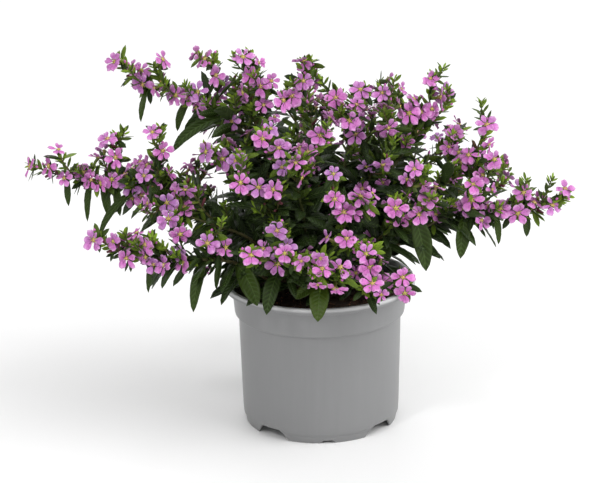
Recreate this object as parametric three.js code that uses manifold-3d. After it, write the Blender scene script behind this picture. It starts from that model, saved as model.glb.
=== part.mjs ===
// Potted cigar plant in bloom: a grey plastic nursery pot, its soil, and thirty leafy stems.
// Millimetres, +Z up. The origin is on the pot's axis, at the level that the pot stands on.
// +X is the right of the plant as it is looked at, and -Y is the side that faces the onlooker.

import * as THREE from 'three';
import { mergeVertices } from 'three/addons/utils/BufferGeometryUtils.js';
import Module from 'manifold-3d';

const wasm = await Module();
wasm.setup();

// Pot
const POT_HEIGHT = 100;
const RIM_RADIUS = 65;
const LIP_HEIGHT = 4.4;
const COLLAR_RADIUS = 59.4;
const COLLAR_FOOT_RADIUS = 57.8;
const COLLAR_FOOT = 77.6;
const WALL_TOP_RADIUS = 55.2;
const WALL_FOOT_RADIUS = 53.6;
const FOOT_RADIUS = 51.6;
const WALL = 1.2;
const FLOOR = 8;
const PAD_RADIUS = 8;
const POT_SIDES = 32;
const FEET = 4;
const FEET_TURN = 4.3;
const DRAIN_HOLES = 6;

// Soil, and the plain holes that the stems stand in
const SOIL_TOP = 92;
const SOIL_GAP = 0.4;
const SOIL_SIDES = 16;
const HOLE_DEPTH = 12;
const HOLE_RADIUS = 2.4;
const HOLE_GAP = 0.3;

// Stems, thinning from foot to tip
const STEM_FOOT_RADIUS = 1.9;
const STEM_TIP_RADIUS = 0.8;
const STEM_SIDES = 4;
const SIDE_RADIUS = 1.0;
const SIDE_TIP_RADIUS = 0.6;
const SIDE_SIDES = 3;
const SIDE_LENGTHS = 3;

// Leaves: their share of a blade's length at which its sections lie, and the section's form
const SECTIONS = [0.3, 0.66];
const LONG_SECTIONS = [0.22, 0.5, 0.77];
const LONG_LEAF = 34;
const LEAF_PROPORTION = 0.3;
const KEEL = 0.5;
const FOLD = 0.16;
const SHORTER = [1, 0.78, 0.6];

// Where leaves stand on a main stem, on a low front stem and on a side spray: distance of the
// first pair, step to the next, share of the stem that bears them, length near the foot and the
// tip, droop, and the share of them that has fallen
const MAIN_LEAVES = {
  first: 22, step: 25, last: 0.68, longest: 48, shortest: 20, droop: 1, missing: 0.14,
};
const SMALL_LEAVES = {
  first: 20, step: 15, last: 0.7, longest: 22, shortest: 14, droop: 0.2, missing: 0.2,
};
const SIDE_LEAVES = {
  first: 9, step: 14, last: 0.45, longest: 24, shortest: 14, droop: 0.4, missing: 0.7,
};

// Flowers
const PETALS = 6;
const PETAL_REACH = 8.8;
const NOTCH_REACH = 4.2;
const TUBE_LENGTH = 8;
const TUBE_RADIUS = 1.5;
const FLOWER_STEP = 12;
const FLOWER_INSET = 5;
const TUBE_LENGTHS = [TUBE_LENGTH, TUBE_LENGTH + 4];
const CALYX_DEPTH = 1.8;

// Flowers this far back still look to the plant's front, and those beyond look outwards
const FRONT_DEPTH = 62;
const FRONT_BLEND = 45;
const FRONT_SPREAD = 0.003;
const RAISED_LOOK = 0.35;

// Clear space kept round each leaf and flower, and the turns tried to find it
const CLEAR = 0.5;
const DODGES = [0, 30, -30, 60, -60];
const FLOWER_DODGE = 1.3;

const UP = new THREE.Vector3(0, 0, 1);

// Each stem: the ring of the soil that it stands in, its bearing there in degrees from +X,
// the points that it passes through, its side sprays, the leaves that hang at a known place,
// and how many flowers it carries. from is the share of the stem's length.
const LOW = 27;
const MIDDLE = 20.5;
const INNER = 14;
const STEMS = [
  {
    ring: LOW, bearing: -170, flowers: 5,
    route: [[-48, -6, 126], [-88, -8, 156], [-130, -10, 171], [-170, -10, 178], [-192, -10, 187]],
    sides: [
      { from: 0.56, tip: [-104, -2, 208], flowers: 3 },
      { from: 0.7, tip: [-133, -6, 205], flowers: 2 },
    ],
    leaves: [
      { from: 0.7, tip: [-132, -16, 151], wide: 7 },
      { from: 0.78, tip: [-154, -14, 147], wide: 6 },
    ],
  },
  {
    ring: LOW, bearing: -147, flowers: 6,
    route: [[-40, -34, 115], [-62, -50, 130], [-95, -56, 133], [-126, -56, 137], [-147, -55, 151]],
    sides: [
      { from: 0.42, tip: [-70, -62, 152], flowers: 2 },
      { from: 0.58, tip: [-95, -48, 163], flowers: 2 },
      { from: 0.68, tip: [-111, -60, 151], flowers: 1 },
    ],
    leaves: [
      { from: 0.36, tip: [-41, -70, 105], wide: 15 },
      { from: 0.5, tip: [-83, -63, 99], wide: 14 },
      { from: 0.6, tip: [-103, -61, 115], wide: 6 },
      { from: 0.43, tip: [-68, -53, 111], wide: 5 },
    ],
  },
  {
    ring: LOW, bearing: -118, flowers: 3,
    route: [[-20, -48, 116], [-32, -72, 137], [-49, -88, 147]],
    sides: [
      { from: 0.55, tip: [-22, -88, 166], flowers: 2 },
      { from: 0.45, tip: [-17, -94, 146], flowers: 1 },
    ],
    leaves: [{ from: 0.55, tip: [-35, -79, 102], wide: 12 }],
  },
  {
    ring: LOW, bearing: -90, flowers: 3, small: true,
    route: [[1, -50, 113], [0, -76, 127], [-4, -97, 136]],
    sides: [{ from: 0.55, tip: [16, -95, 134], flowers: 2 }],
    leaves: [
      { from: 0.5, tip: [-2, -80, 97], wide: 11 },
      { from: 0.35, tip: [-16, -58, 105], wide: 9 },
    ],
  },
  {
    ring: LOW, bearing: -58, flowers: 3, small: true,
    route: [[24, -46, 110], [37, -66, 118], [56, -76, 120]],
    sides: [
      { from: 0.4, tip: [33, -78, 147], flowers: 2 },
      { from: 0.55, tip: [28, -88, 122], flowers: 1 },
    ],
    leaves: [],
  },
  {
    ring: LOW, bearing: -8, flowers: 7,
    route: [[50, -8, 123], [88, -11, 146], [121, -12, 146], [148, -10, 150], [168, -10, 160]],
    sides: [
      { from: 0.56, tip: [105, -18, 162], flowers: 2 },
      { from: 0.74, tip: [139, -14, 165], flowers: 2 },
    ],
    leaves: [
      { from: 0.56, tip: [94, -25, 120], wide: 12 },
      { from: 0.68, tip: [120, -17, 127], wide: 6 },
    ],
  },
  {
    ring: LOW, bearing: 32, flowers: 3,
    route: [[56, 36, 120], [96, 58, 139], [134, 76, 154]],
    sides: [
      { from: 0.6, tip: [104, 82, 158], flowers: 1 },
      { from: 0.7, tip: [132, 54, 150], flowers: 1 },
    ],
    leaves: [],
  },
  {
    ring: LOW, bearing: 78, flowers: 3,
    route: [[14, 62, 120], [24, 102, 137], [32, 132, 152]],
    sides: [
      { from: 0.6, tip: [4, 118, 160], flowers: 1 },
      { from: 0.55, tip: [48, 108, 150], flowers: 1 },
    ],
    leaves: [],
  },
  {
    ring: LOW, bearing: 142, flowers: 3,
    route: [[-54, 44, 122], [-92, 68, 139], [-128, 88, 153]],
    sides: [
      { from: 0.6, tip: [-84, 96, 156], flowers: 1 },
      { from: 0.7, tip: [-130, 66, 148], flowers: 1 },
    ],
    leaves: [],
  },
  {
    ring: LOW, bearing: 166, flowers: 2,
    route: [[-60, 24, 130], [-102, 40, 150], [-140, 52, 163]],
    sides: [{ from: 0.65, tip: [-118, 24, 172], flowers: 1 }],
    leaves: [],
  },
  {
    ring: MIDDLE, bearing: -157, flowers: 3,
    route: [[-44, -28, 136], [-78, -38, 154], [-114, -42, 169]],
    sides: [{ from: 0.6, tip: [-86, -42, 182], flowers: 1 }],
    leaves: [],
  },
  {
    ring: MIDDLE, bearing: 176, flowers: 2,
    route: [[-36, -6, 146], [-58, -14, 178], [-75, -20, 200]],
    sides: [{ from: 0.6, tip: [-50, -26, 196], flowers: 1 }],
    leaves: [],
  },
  {
    ring: MIDDLE, bearing: -124, flowers: 2,
    route: [[-24, -34, 144], [-38, -46, 170], [-52, -52, 188]],
    sides: [{ from: 0.6, tip: [-24, -58, 184], flowers: 1 }],
    leaves: [],
  },
  {
    ring: MIDDLE, bearing: -76, flowers: 3,
    route: [[14, -38, 142], [23, -57, 163], [32, -70, 176]],
    sides: [
      { from: 0.6, tip: [9, -68, 182], flowers: 2 },
      { from: 0.5, tip: [22, -80, 150], flowers: 1 },
    ],
    leaves: [],
  },
  {
    ring: MIDDLE, bearing: -40, flowers: 3,
    route: [[36, -28, 132], [58, -42, 154], [77, -50, 169]],
    sides: [
      { from: 0.62, tip: [66, -46, 192], flowers: 2 },
      { from: 0.6, tip: [52, -60, 172], flowers: 1 },
    ],
    leaves: [
      { from: 0.8, tip: [70, -44, 118], wide: 15 },
      { from: 0.5, tip: [43, -42, 122], wide: 13 },
    ],
  },
  {
    ring: MIDDLE, bearing: -5, flowers: 3,
    route: [[46, 4, 138], [78, 2, 160], [99, -1, 176], [115, 0, 208]],
    sides: [
      { from: 0.6, tip: [96, 18, 197], flowers: 2 },
      { from: 0.7, tip: [121, -8, 184], flowers: 2 },
    ],
    leaves: [],
  },
  {
    ring: MIDDLE, bearing: 24, flowers: 2,
    route: [[46, 24, 144], [78, 40, 172], [100, 50, 188]],
    sides: [{ from: 0.62, tip: [74, 54, 196], flowers: 1 }],
    leaves: [],
  },
  {
    ring: MIDDLE, bearing: 54, flowers: 2,
    route: [[34, 50, 148], [58, 80, 176], [76, 100, 190]],
    sides: [{ from: 0.62, tip: [50, 92, 198], flowers: 1 }],
    leaves: [],
  },
  {
    ring: MIDDLE, bearing: 92, flowers: 2,
    route: [[-2, 56, 148], [-6, 92, 176], [-10, 120, 190]],
    sides: [{ from: 0.62, tip: [12, 100, 192], flowers: 1 }],
    leaves: [],
  },
  {
    ring: MIDDLE, bearing: 128, flowers: 2,
    route: [[-34, 50, 150], [-60, 80, 178], [-80, 102, 192]],
    sides: [{ from: 0.62, tip: [-50, 96, 196], flowers: 1 }],
    leaves: [],
  },
  {
    ring: INNER, bearing: 178, flowers: 6,
    route: [[-26, 9, 150], [-50, 14, 200], [-80, 20, 221], [-112, 28, 229], [-134, 30, 249]],
    sides: [{ from: 0.62, tip: [-69, 26, 251], flowers: 3 }],
    leaves: [
      { from: 0.6, tip: [-96, 2, 190], wide: 9 },
      { from: 0.66, tip: [-85, 17, 196], wide: 9 },
      { from: 0.72, tip: [-94, 20, 199], wide: 7 },
    ],
  },
  {
    ring: INNER, bearing: 150, flowers: 3,
    route: [[-22, 16, 150], [-40, 14, 204], [-45, 14, 224], [-44, 16, 254]],
    sides: [
      { from: 0.7, tip: [-32, 6, 236], flowers: 2 },
      { from: 0.68, tip: [-56, 26, 234], flowers: 2 },
    ],
    leaves: [],
  },
  {
    ring: INNER, bearing: -112, flowers: 3,
    route: [[-10, -26, 150], [-13, -40, 186], [7, -43, 211]],
    sides: [
      { from: 0.68, tip: [-36, -46, 216], flowers: 3 },
      { from: 0.66, tip: [-10, -58, 202], flowers: 2 },
    ],
    leaves: [],
  },
  {
    ring: 0, bearing: 0, flowers: 3,
    route: [[-6, 6, 150], [-14, 6, 206], [-12, 6, 230], [-3, 6, 251]],
    sides: [{ from: 0.72, tip: [-24, 2, 228], flowers: 1 }],
    leaves: [],
  },
  {
    ring: INNER, bearing: 42, flowers: 3,
    route: [[14, 13, 150], [23, 14, 196], [30, 15, 214], [33, 16, 230]],
    sides: [
      { from: 0.72, tip: [14, 15, 226], flowers: 2 },
      { from: 0.7, tip: [24, -4, 216], flowers: 2 },
    ],
    leaves: [],
  },
  {
    ring: INNER, bearing: -30, flowers: 3,
    route: [[24, -6, 150], [42, -8, 186], [51, -6, 204], [43, 0, 232]],
    sides: [{ from: 0.6, tip: [46, -22, 190], flowers: 2 }],
    leaves: [],
  },
  {
    ring: INNER, bearing: 10, flowers: 3,
    route: [[36, 12, 148], [58, 17, 182], [73, 17, 204], [78, 20, 236]],
    sides: [
      { from: 0.72, tip: [60, 12, 216], flowers: 2 },
      { from: 0.72, tip: [90, 24, 218], flowers: 1 },
    ],
    leaves: [],
  },
  {
    ring: INNER, bearing: 70, flowers: 2,
    route: [[24, 42, 160], [38, 58, 194], [48, 66, 212]],
    sides: [{ from: 0.66, tip: [24, 62, 212], flowers: 1 }],
    leaves: [],
  },
  {
    ring: INNER, bearing: 97, flowers: 2,
    route: [[0, 38, 160], [-4, 54, 202], [-6, 62, 224]],
    sides: [{ from: 0.66, tip: [10, 70, 210], flowers: 1 }],
    leaves: [],
  },
  {
    ring: INNER, bearing: 124, flowers: 2,
    route: [[-24, 42, 162], [-38, 58, 200], [-46, 66, 220]],
    sides: [{ from: 0.66, tip: [-58, 52, 212], flowers: 1 }],
    leaves: [],
  },
];

// One random draw after another, the same on every run
function draws(seed) {
  let state = seed;
  return () => {
    state = (state * 16807) % 2147483647;
    return state / 2147483647;
  };
}

const vector = (x, y, z) => new THREE.Vector3(x, y, z);
const along = (point, direction, distance) => point.clone().addScaledVector(direction, distance);

// The part of a wished direction that is square to another
function perpendicular(direction, wish) {
  return wish.clone().addScaledVector(direction, -wish.dot(direction)).normalize();
}

// Solids

function solid(points, faces) {
  let volume = 0;
  for (const [a, b, c] of faces) {
    volume += points[a].dot(vector().crossVectors(points[b], points[c]));
  }
  const turned = volume < 0 ? faces.map(([a, b, c]) => [a, c, b]) : faces;
  const vertProperties = Float32Array.from(points.flatMap((point) => point.toArray()));
  const triVerts = Uint32Array.from(turned.flat());
  return new wasm.Manifold(new wasm.Mesh({ numProp: 3, vertProperties, triVerts }));
}

function solidOf(geometry) {
  geometry.deleteAttribute('normal');
  geometry.deleteAttribute('uv');
  const merged = mergeVertices(geometry, 0.001);
  const place = merged.attributes.position;
  const points = [];
  for (let i = 0; i < place.count; i++) points.push(vector().fromBufferAttribute(place, i));
  const faces = [];
  for (let i = 0; i < merged.index.count; i += 3) {
    const face = [0, 1, 2].map((k) => merged.index.getX(i + k));
    if (new Set(face).size === 3) faces.push(face);
  }
  return solid(points, faces);
}

// Rings of points joined into a skin that is closed by a point at each end. Neighbouring strips
// are split towards each other, so a blade's two faces are split alike.
function loft(start, rings, end) {
  const count = rings[0].length;
  const points = [start, ...rings.flat(), end];
  const at = (ring, k) => 1 + ring * count + (k % count);
  const faces = [];
  for (let k = 0; k < count; k++) {
    faces.push([0, at(0, k), at(0, k + 1)]);
    for (let ring = 0; ring + 1 < rings.length; ring++) {
      const [a, b] = [at(ring, k), at(ring, k + 1)];
      const [d, c] = [at(ring + 1, k), at(ring + 1, k + 1)];
      if (k % 2 === 0) faces.push([a, c, b], [a, d, c]);
      else faces.push([a, d, b], [b, d, c]);
    }
    faces.push([points.length - 1, at(rings.length - 1, k + 1), at(rings.length - 1, k)]);
  }
  return solid(points, faces);
}

// Pot: turned wall, collar and rolled lip, a raised floor with drain holes, and four feet

function turned(profile, sides) {
  const outline = profile.map(([radius, height]) => new THREE.Vector2(radius, height));
  return solidOf(new THREE.LatheGeometry(outline, sides).rotateX(Math.PI / 2));
}

function potInside() {
  return [
    [0, FLOOR + WALL],
    [WALL_FOOT_RADIUS - WALL - 1.6, FLOOR + WALL],
    [WALL_FOOT_RADIUS - WALL, FLOOR + WALL + 4],
    [WALL_TOP_RADIUS - WALL, COLLAR_FOOT - 0.6],
    [COLLAR_FOOT_RADIUS - WALL, COLLAR_FOOT + 1.2],
    [COLLAR_RADIUS - WALL, POT_HEIGHT - LIP_HEIGHT],
  ];
}

function footCutter(halfWidth, topHalfWidth, height, bearing) {
  const shape = new THREE.Shape();
  shape.moveTo(-halfWidth, -1);
  shape.lineTo(halfWidth, -1);
  shape.lineTo(topHalfWidth, height);
  shape.lineTo(-topHalfWidth, height);
  shape.closePath();
  const length = 12;
  const geometry = new THREE.ExtrudeGeometry(shape, { depth: length, bevelEnabled: false });
  geometry.rotateX(Math.PI / 2);
  geometry.translate(0, -FOOT_RADIUS + length - 5, 0);
  geometry.rotateZ(THREE.MathUtils.degToRad(bearing));
  return solidOf(geometry);
}

function makePot() {
  const lipFoot = POT_HEIGHT - LIP_HEIGHT;
  const outside = [
    [0, 0],
    [PAD_RADIUS, 0],
    [PAD_RADIUS + 2, FLOOR],
    [FOOT_RADIUS - WALL, FLOOR],
    [FOOT_RADIUS - WALL, 0],
    [FOOT_RADIUS, 0],
    [FOOT_RADIUS + 1, 5.6],
    [WALL_FOOT_RADIUS, 12],
    [WALL_TOP_RADIUS, COLLAR_FOOT - 1.4],
    [COLLAR_FOOT_RADIUS, COLLAR_FOOT],
    [COLLAR_RADIUS, lipFoot],
    [RIM_RADIUS - 0.6, lipFoot],
    [RIM_RADIUS, lipFoot + 1.2],
    [RIM_RADIUS, POT_HEIGHT - 1.2],
    [RIM_RADIUS - 1.2, POT_HEIGHT],
    [RIM_RADIUS - 3, POT_HEIGHT],
  ];
  let pot = turned([...outside, ...potInside().reverse()], POT_SIDES);
  for (let foot = 0; foot < FEET; foot++) {
    const bearing = FEET_TURN + (360 / FEET) * foot;
    pot = pot.subtract(footCutter(6.5, 3.2, 2, bearing));
    pot = pot.subtract(footCutter(14.6, 7.8, 7.4, bearing + 180 / FEET));
  }
  for (let k = 0; k < DRAIN_HOLES; k++) {
    const angle = ((k + 0.5) / DRAIN_HOLES) * 2 * Math.PI;
    const hole = new THREE.CylinderGeometry(4, 4, 4, 6).rotateX(Math.PI / 2);
    hole.translate(34 * Math.cos(angle), 34 * Math.sin(angle), FLOOR + WALL / 2);
    pot = pot.subtract(solidOf(hole));
  }
  return pot;
}

// Soil: fills the pot, with a loose crumbly top and a hole for each stem

const soilHeight = (x, y) => {
  const ridge = Math.sin(x * 0.19 + 1.1) * Math.cos(y * 0.23 - 0.4);
  const ripple = Math.sin(x * 0.47 - y * 0.39);
  return SOIL_TOP + 0.9 * ridge + 0.5 * ripple;
};

function makeSoil(feet) {
  const side = potInside().slice(1).map(([radius, height]) => [radius - SOIL_GAP, height + SOIL_GAP]);
  const [rimRadius] = side.pop();
  const [lowRadius, lowHeight] = side[side.length - 1];
  const slope = (rimRadius - lowRadius) / (POT_HEIGHT - LIP_HEIGHT - lowHeight);
  const edge = lowRadius + slope * (SOIL_TOP - lowHeight);
  const circle = (radius, heightAt) => {
    const ring = [];
    for (let k = 0; k < SOIL_SIDES; k++) {
      const angle = (k / SOIL_SIDES) * 2 * Math.PI + Math.PI / 2;
      const [x, y] = [radius * Math.cos(angle), radius * Math.sin(angle)];
      ring.push(vector(x, y, heightAt(x, y)));
    }
    return ring;
  };
  const rings = side.map(([radius, height]) => circle(radius, () => height));
  for (const share of [1, 0.55]) rings.push(circle(edge * share, soilHeight));
  let soil = loft(vector(0, 0, side[0][1]), rings, vector(0, 0, soilHeight(0, 0)));
  for (const [x, y] of feet) {
    const hole = new THREE.CylinderGeometry(HOLE_RADIUS, HOLE_RADIUS, 2 * HOLE_DEPTH, STEM_SIDES);
    hole.rotateX(Math.PI / 2);
    hole.translate(x, y, SOIL_TOP);
    soil = soil.subtract(solidOf(hole));
  }
  return soil;
}

// Stems: short straight lengths along a curve. Leaves and flowers keep their steps along them.

class Stem {
  constructor(points, lengths, footRadius, tipRadius) {
    this.knots = new THREE.CatmullRomCurve3(points, false, 'catmullrom', 0.5).getPoints(lengths);
    this.footRadius = footRadius;
    this.tipRadius = tipRadius;
    this.marks = [0];
    for (let i = 1; i <= lengths; i++) {
      this.marks.push(this.marks[i - 1] + this.knots[i].distanceTo(this.knots[i - 1]));
    }
    this.length = this.marks[lengths];
  }

  radiusAt(distance) {
    return this.footRadius + (this.tipRadius - this.footRadius) * (distance / this.length);
  }

  // Point, direction and radius at a distance from the foot
  at(distance) {
    const { knots, marks } = this;
    let i = 1;
    while (i < marks.length - 1 && marks[i] < distance) i++;
    const share = (distance - marks[i - 1]) / (marks[i] - marks[i - 1]);
    const point = knots[i - 1].clone().lerp(knots[i], share);
    const direction = knots[i].clone().sub(knots[i - 1]).normalize();
    return { point, direction, radius: this.radiusAt(distance) };
  }

  // A skin with few sides, each ring square to the stem
  solid(sides, start, firstRing) {
    const rings = firstRing ? [firstRing, this.ring(0, sides)] : [];
    for (let i = 1; i + 1 < this.knots.length; i++) rings.push(this.ring(i, sides));
    return loft(start, rings, this.knots[this.knots.length - 1]);
  }

  ring(i, sides) {
    const { knots, marks } = this;
    const direction = knots[i + 1].clone().sub(knots[Math.max(i - 1, 0)]).normalize();
    const out = perpendicular(direction, vector(1, 0, 0));
    const ring = [];
    for (let k = 0; k < sides; k++) {
      const lean = out.clone().applyAxisAngle(direction, (k / sides) * 2 * Math.PI);
      ring.push(along(knots[i], lean, this.radiusAt(marks[i])));
    }
    return ring;
  }
}

// Leaves: a pointed blade on a bent midrib, folded up a little from the rib and keeled below

const bladeWidth = (share) => Math.pow(Math.sin(Math.PI * Math.pow(share, 0.85)), 0.75);

class Leaf {
  constructor(root, bend, tip, width, facing, stemSide) {
    this.curve = new THREE.QuadraticBezierCurve3(root, bend, tip);
    this.width = width;
    this.facing = facing;
    this.stemSide = stemSide;
    this.sections = this.curve.getLength() > LONG_LEAF ? LONG_SECTIONS : SECTIONS;
  }

  // Centre, side and upper direction at a share of the length
  frame(share) {
    const centre = this.curve.getPoint(share);
    const rib = this.curve.getTangent(share);
    const side = vector().crossVectors(this.facing, rib);
    const lean = side.dot(this.stemSide) < 0 ? -0.35 : 0.35;
    side.addScaledVector(this.stemSide, lean);
    side.addScaledVector(rib, -side.dot(rib)).normalize();
    const upper = vector().crossVectors(rib, side);
    if (upper.dot(this.facing) < 0) upper.negate();
    return { centre, rib, side, upper, half: (this.width * bladeWidth(share)) / 2 };
  }

  solid() {
    const rings = this.sections.map((share) => {
      const { centre, side, upper, half } = this.frame(share);
      const edge = along(centre, upper, FOLD * half);
      return [along(edge, side, half), along(edge, side, -half), along(centre, upper, -KEEL)];
    });
    return loft(this.curve.getPoint(0), rings, this.curve.getPoint(1));
  }

  // The blade with clear space round it, from where it has left its stem
  room() {
    const shares = [0.2, ...this.sections.filter((share) => share > 0.25)];
    const rings = shares.map((share) => {
      const { centre, side, upper, half } = this.frame(share);
      const edge = along(centre, upper, FOLD * half);
      return [
        along(edge, side, half + CLEAR),
        along(centre, upper, -KEEL - CLEAR),
        along(edge, side, -half - CLEAR),
        along(centre, upper, FOLD * half + CLEAR),
      ];
    });
    const { centre, rib } = this.frame(1);
    return loft(this.curve.getPoint(0.12), rings, along(centre, rib, CLEAR));
  }
}

// Flowers: six petals in one plane with notches between them, on a slender tube.
// The two upper petals stand a little apart from the other four.

const PETAL_BEARINGS = [62, 118, 174, 236, 304, 366];

class Flower {
  constructor(root, centre, facing) {
    this.root = root;
    this.centre = centre;
    this.facing = facing;
    this.across = vector().crossVectors(UP, facing).normalize();
    this.top = vector().crossVectors(facing, this.across);
  }

  place(radius, degrees, height) {
    const angle = THREE.MathUtils.degToRad(degrees);
    const point = along(this.centre, this.across, radius * Math.cos(angle));
    point.addScaledVector(this.top, radius * Math.sin(angle));
    return point.addScaledVector(this.facing, height);
  }

  solid() {
    const points = [this.place(0, 0, -0.3)];
    for (let petal = 0; petal < PETALS; petal++) {
      const bearing = PETAL_BEARINGS[petal];
      const next = petal + 1 < PETALS ? PETAL_BEARINGS[petal + 1] : PETAL_BEARINGS[0] + 360;
      points.push(this.place(PETAL_REACH, bearing, petal % 2 ? 0.7 : 0.2));
      points.push(this.place(NOTCH_REACH, (bearing + next) / 2, 0));
    }
    const rim = 2 * PETALS;
    const calyx = points.length;
    for (let k = 0; k < 3; k++) {
      points.push(this.place(TUBE_RADIUS, PETAL_BEARINGS[0] + 60 + 120 * k, -CALYX_DEPTH));
    }
    points.push(this.root);
    const faces = [];
    for (let k = 0; k < rim; k++) {
      const [here, next] = [1 + k, 1 + ((k + 1) % rim)];
      const under = Math.floor(k / 4);
      faces.push([0, here, next], [here, calyx + under, next]);
      if (k % 4 === 3) faces.push([next, calyx + under, calyx + ((under + 1) % 3)]);
    }
    for (let k = 0; k < 3; k++) {
      faces.push([calyx + k, points.length - 1, calyx + ((k + 1) % 3)]);
    }
    return solid(points, faces);
  }

  room() {
    const ring = (height) => {
      const points = [];
      for (let k = 0; k < 8; k++) points.push(this.place(PETAL_REACH + CLEAR, 45 * k, height));
      return points;
    };
    return loft(this.place(0, 0, -2.6), [ring(-0.3), ring(1.2)], this.place(0, 0, 1.2));
  }
}

// Building the plant: stems first, then every leaf and flower that finds clear space

const built = [];

function keep(owner, solidBody, isStem) {
  built.push({ owner, solid: solidBody, isStem, box: solidBody.boundingBox() });
}

function isFree(room, owner) {
  const box = room.boundingBox();
  for (const other of built) {
    if (other.isStem && other.owner === owner) continue;
    const { min, max } = other.box;
    if ([0, 1, 2].some((k) => box.min[k] > max[k] || box.max[k] < min[k])) continue;
    const shared = room.intersect(other.solid);
    const touches = !shared.isEmpty();
    shared.delete();
    if (touches) return false;
  }
  return true;
}

// The first of several ways to place a leaf or flower that has clear space round it
function placeFirst(owner, ways) {
  for (const way of ways) {
    const shape = way();
    const room = shape.room();
    const fits = isFree(room, owner);
    room.delete();
    if (fits) {
      keep(owner, shape.solid(), false);
      return true;
    }
  }
  return false;
}

// Where flowers look: the near half of the plant to its front, the far half outwards
function outlook(point) {
  const front = THREE.MathUtils.clamp((FRONT_DEPTH - point.y) / FRONT_BLEND, 0, 1);
  const outward = vector(point.x, point.y, 0).normalize();
  const forward = vector(point.x * FRONT_SPREAD, -1, 0).normalize();
  const look = outward.multiplyScalar(1 - front).addScaledVector(forward, front);
  return look.addScaledVector(UP, RAISED_LOOK).normalize();
}

// A leaf that leaves its stem forwards and outwards, and bends down by its droop
function leafAt(stem, distance, turn, length, droop) {
  const { point, direction, radius } = stem.at(distance);
  const level = perpendicular(direction, vector(-direction.y, direction.x, 0.02));
  const out = level.applyAxisAngle(direction, THREE.MathUtils.degToRad(turn));
  const way = out.clone().multiplyScalar(0.8).addScaledVector(direction, 0.6).normalize();
  const bend = along(point, way, length / 2);
  const fall = way.clone().addScaledVector(UP, -droop).normalize();
  const facing = UP.clone().multiplyScalar(0.8).addScaledVector(direction, 0.5).normalize();
  const stemSide = vector().crossVectors(direction, out);
  const root = along(point, way, -radius * 0.2);
  const tip = along(bend, fall, length / 2);
  return new Leaf(root, bend, tip, length * LEAF_PROPORTION, facing, stemSide);
}

// A leaf that reaches a known tip, rising a little before it falls
function hangingLeaf(stem, from, tip, width) {
  const { point, direction } = stem.at(stem.length * from);
  const reach = tip.distanceTo(point);
  const flat = vector(tip.x - point.x, tip.y - point.y, 0);
  const bend = point.clone().lerp(tip, 0.4).addScaledVector(UP, reach * 0.1);
  bend.addScaledVector(flat, 0.35);
  const facing = outlook(point);
  const stemSide = vector().crossVectors(direction, facing);
  return new Leaf(point, bend, tip, width, facing, stemSide);
}

// A flower on the side of its stem that the onlooker sees
function flowerAt(stem, distance, turn, tube, tilt) {
  const { point, direction } = stem.at(distance);
  const view = outlook(point);
  const wish = perpendicular(direction, view.clone().addScaledVector(UP, 0.5));
  const out = wish.applyAxisAngle(direction, THREE.MathUtils.degToRad(turn));
  const way = out.clone().multiplyScalar(0.75).addScaledVector(view, 0.45);
  way.addScaledVector(direction, 0.25).normalize();
  const facing = way.clone().multiplyScalar(0.35).addScaledVector(view, 0.9);
  facing.add(tilt).normalize();
  return new Flower(point, along(point, way, tube), facing);
}

function placeLeaf(owner, stem, distance, turn, length, droop) {
  const ways = SHORTER.flatMap((size) =>
    DODGES.map((dodge) => () => leafAt(stem, distance, turn + dodge, length * size, droop)));
  return placeFirst(owner, ways);
}

function placeFlower(owner, stem, distance, turn, tilt) {
  const ways = TUBE_LENGTHS.flatMap((tube) =>
    DODGES.map((dodge) => () => flowerAt(stem, distance, turn + FLOWER_DODGE * dodge, tube, tilt)));
  return placeFirst(owner, ways);
}

function footOf({ ring, bearing }) {
  const angle = THREE.MathUtils.degToRad(bearing);
  return [ring * Math.cos(angle), ring * Math.sin(angle)];
}

function makeMain(plan) {
  const [x, y] = footOf(plan);
  const points = [vector(x, y, SOIL_TOP + 2), ...plan.route.map((point) => vector(...point))];
  return new Stem(points, 2 * plan.route.length, STEM_FOOT_RADIUS, STEM_TIP_RADIUS);
}

function makeSide(main, { from, tip }) {
  const start = main.at(main.length * from).point;
  const end = vector(...tip);
  const middle = start.clone().lerp(end, 0.5).addScaledVector(UP, -0.08 * start.distanceTo(end));
  return new Stem([start, middle, end], SIDE_LENGTHS, SIDE_RADIUS, SIDE_TIP_RADIUS);
}

// The foot of a main stem goes straight down into its hole
function mainSolid(stem, plan) {
  const [x, y] = footOf(plan);
  const bottom = vector(x, y, SOIL_TOP - HOLE_DEPTH + HOLE_GAP);
  const ring = [];
  for (let k = 0; k < STEM_SIDES; k++) {
    const lean = vector(1, 0, 0).applyAxisAngle(UP, (k / STEM_SIDES) * 2 * Math.PI);
    ring.push(along(bottom, lean, STEM_FOOT_RADIUS));
  }
  return stem.solid(STEM_SIDES, bottom, ring);
}

// Opposite pairs of leaves up a stem, each pair turned a quarter from the last, and the flowers
// that stand one by one on its outer stretch
function dressStem(owner, stem, { flowers, leafSteps, random }) {
  const { first, step, last, longest, shortest, droop, missing } = leafSteps;
  let turn = 360 * random();
  for (let distance = first; distance < stem.length * last; distance += step) {
    const share = distance / stem.length;
    const length = longest + (shortest - longest) * share;
    for (const opposite of [0, 180]) {
      const size = length * (0.85 + 0.3 * random());
      const fallen = random() < missing;
      if (!fallen) placeLeaf(owner, stem, distance, turn + opposite, size, droop * (1.2 - share));
    }
    turn += 90 + 20 * (random() - 0.5);
  }
  for (let k = 0; k < flowers; k++) {
    const distance = stem.length - FLOWER_INSET - FLOWER_STEP * k;
    const swing = (k % 2 ? 35 : -35) + 20 * (random() - 0.5);
    const tilt = vector(random() - 0.5, random() - 0.5, random() - 0.5).multiplyScalar(0.5);
    if (distance > FLOWER_INSET) placeFlower(owner, stem, distance, swing, tilt);
  }
}

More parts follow.
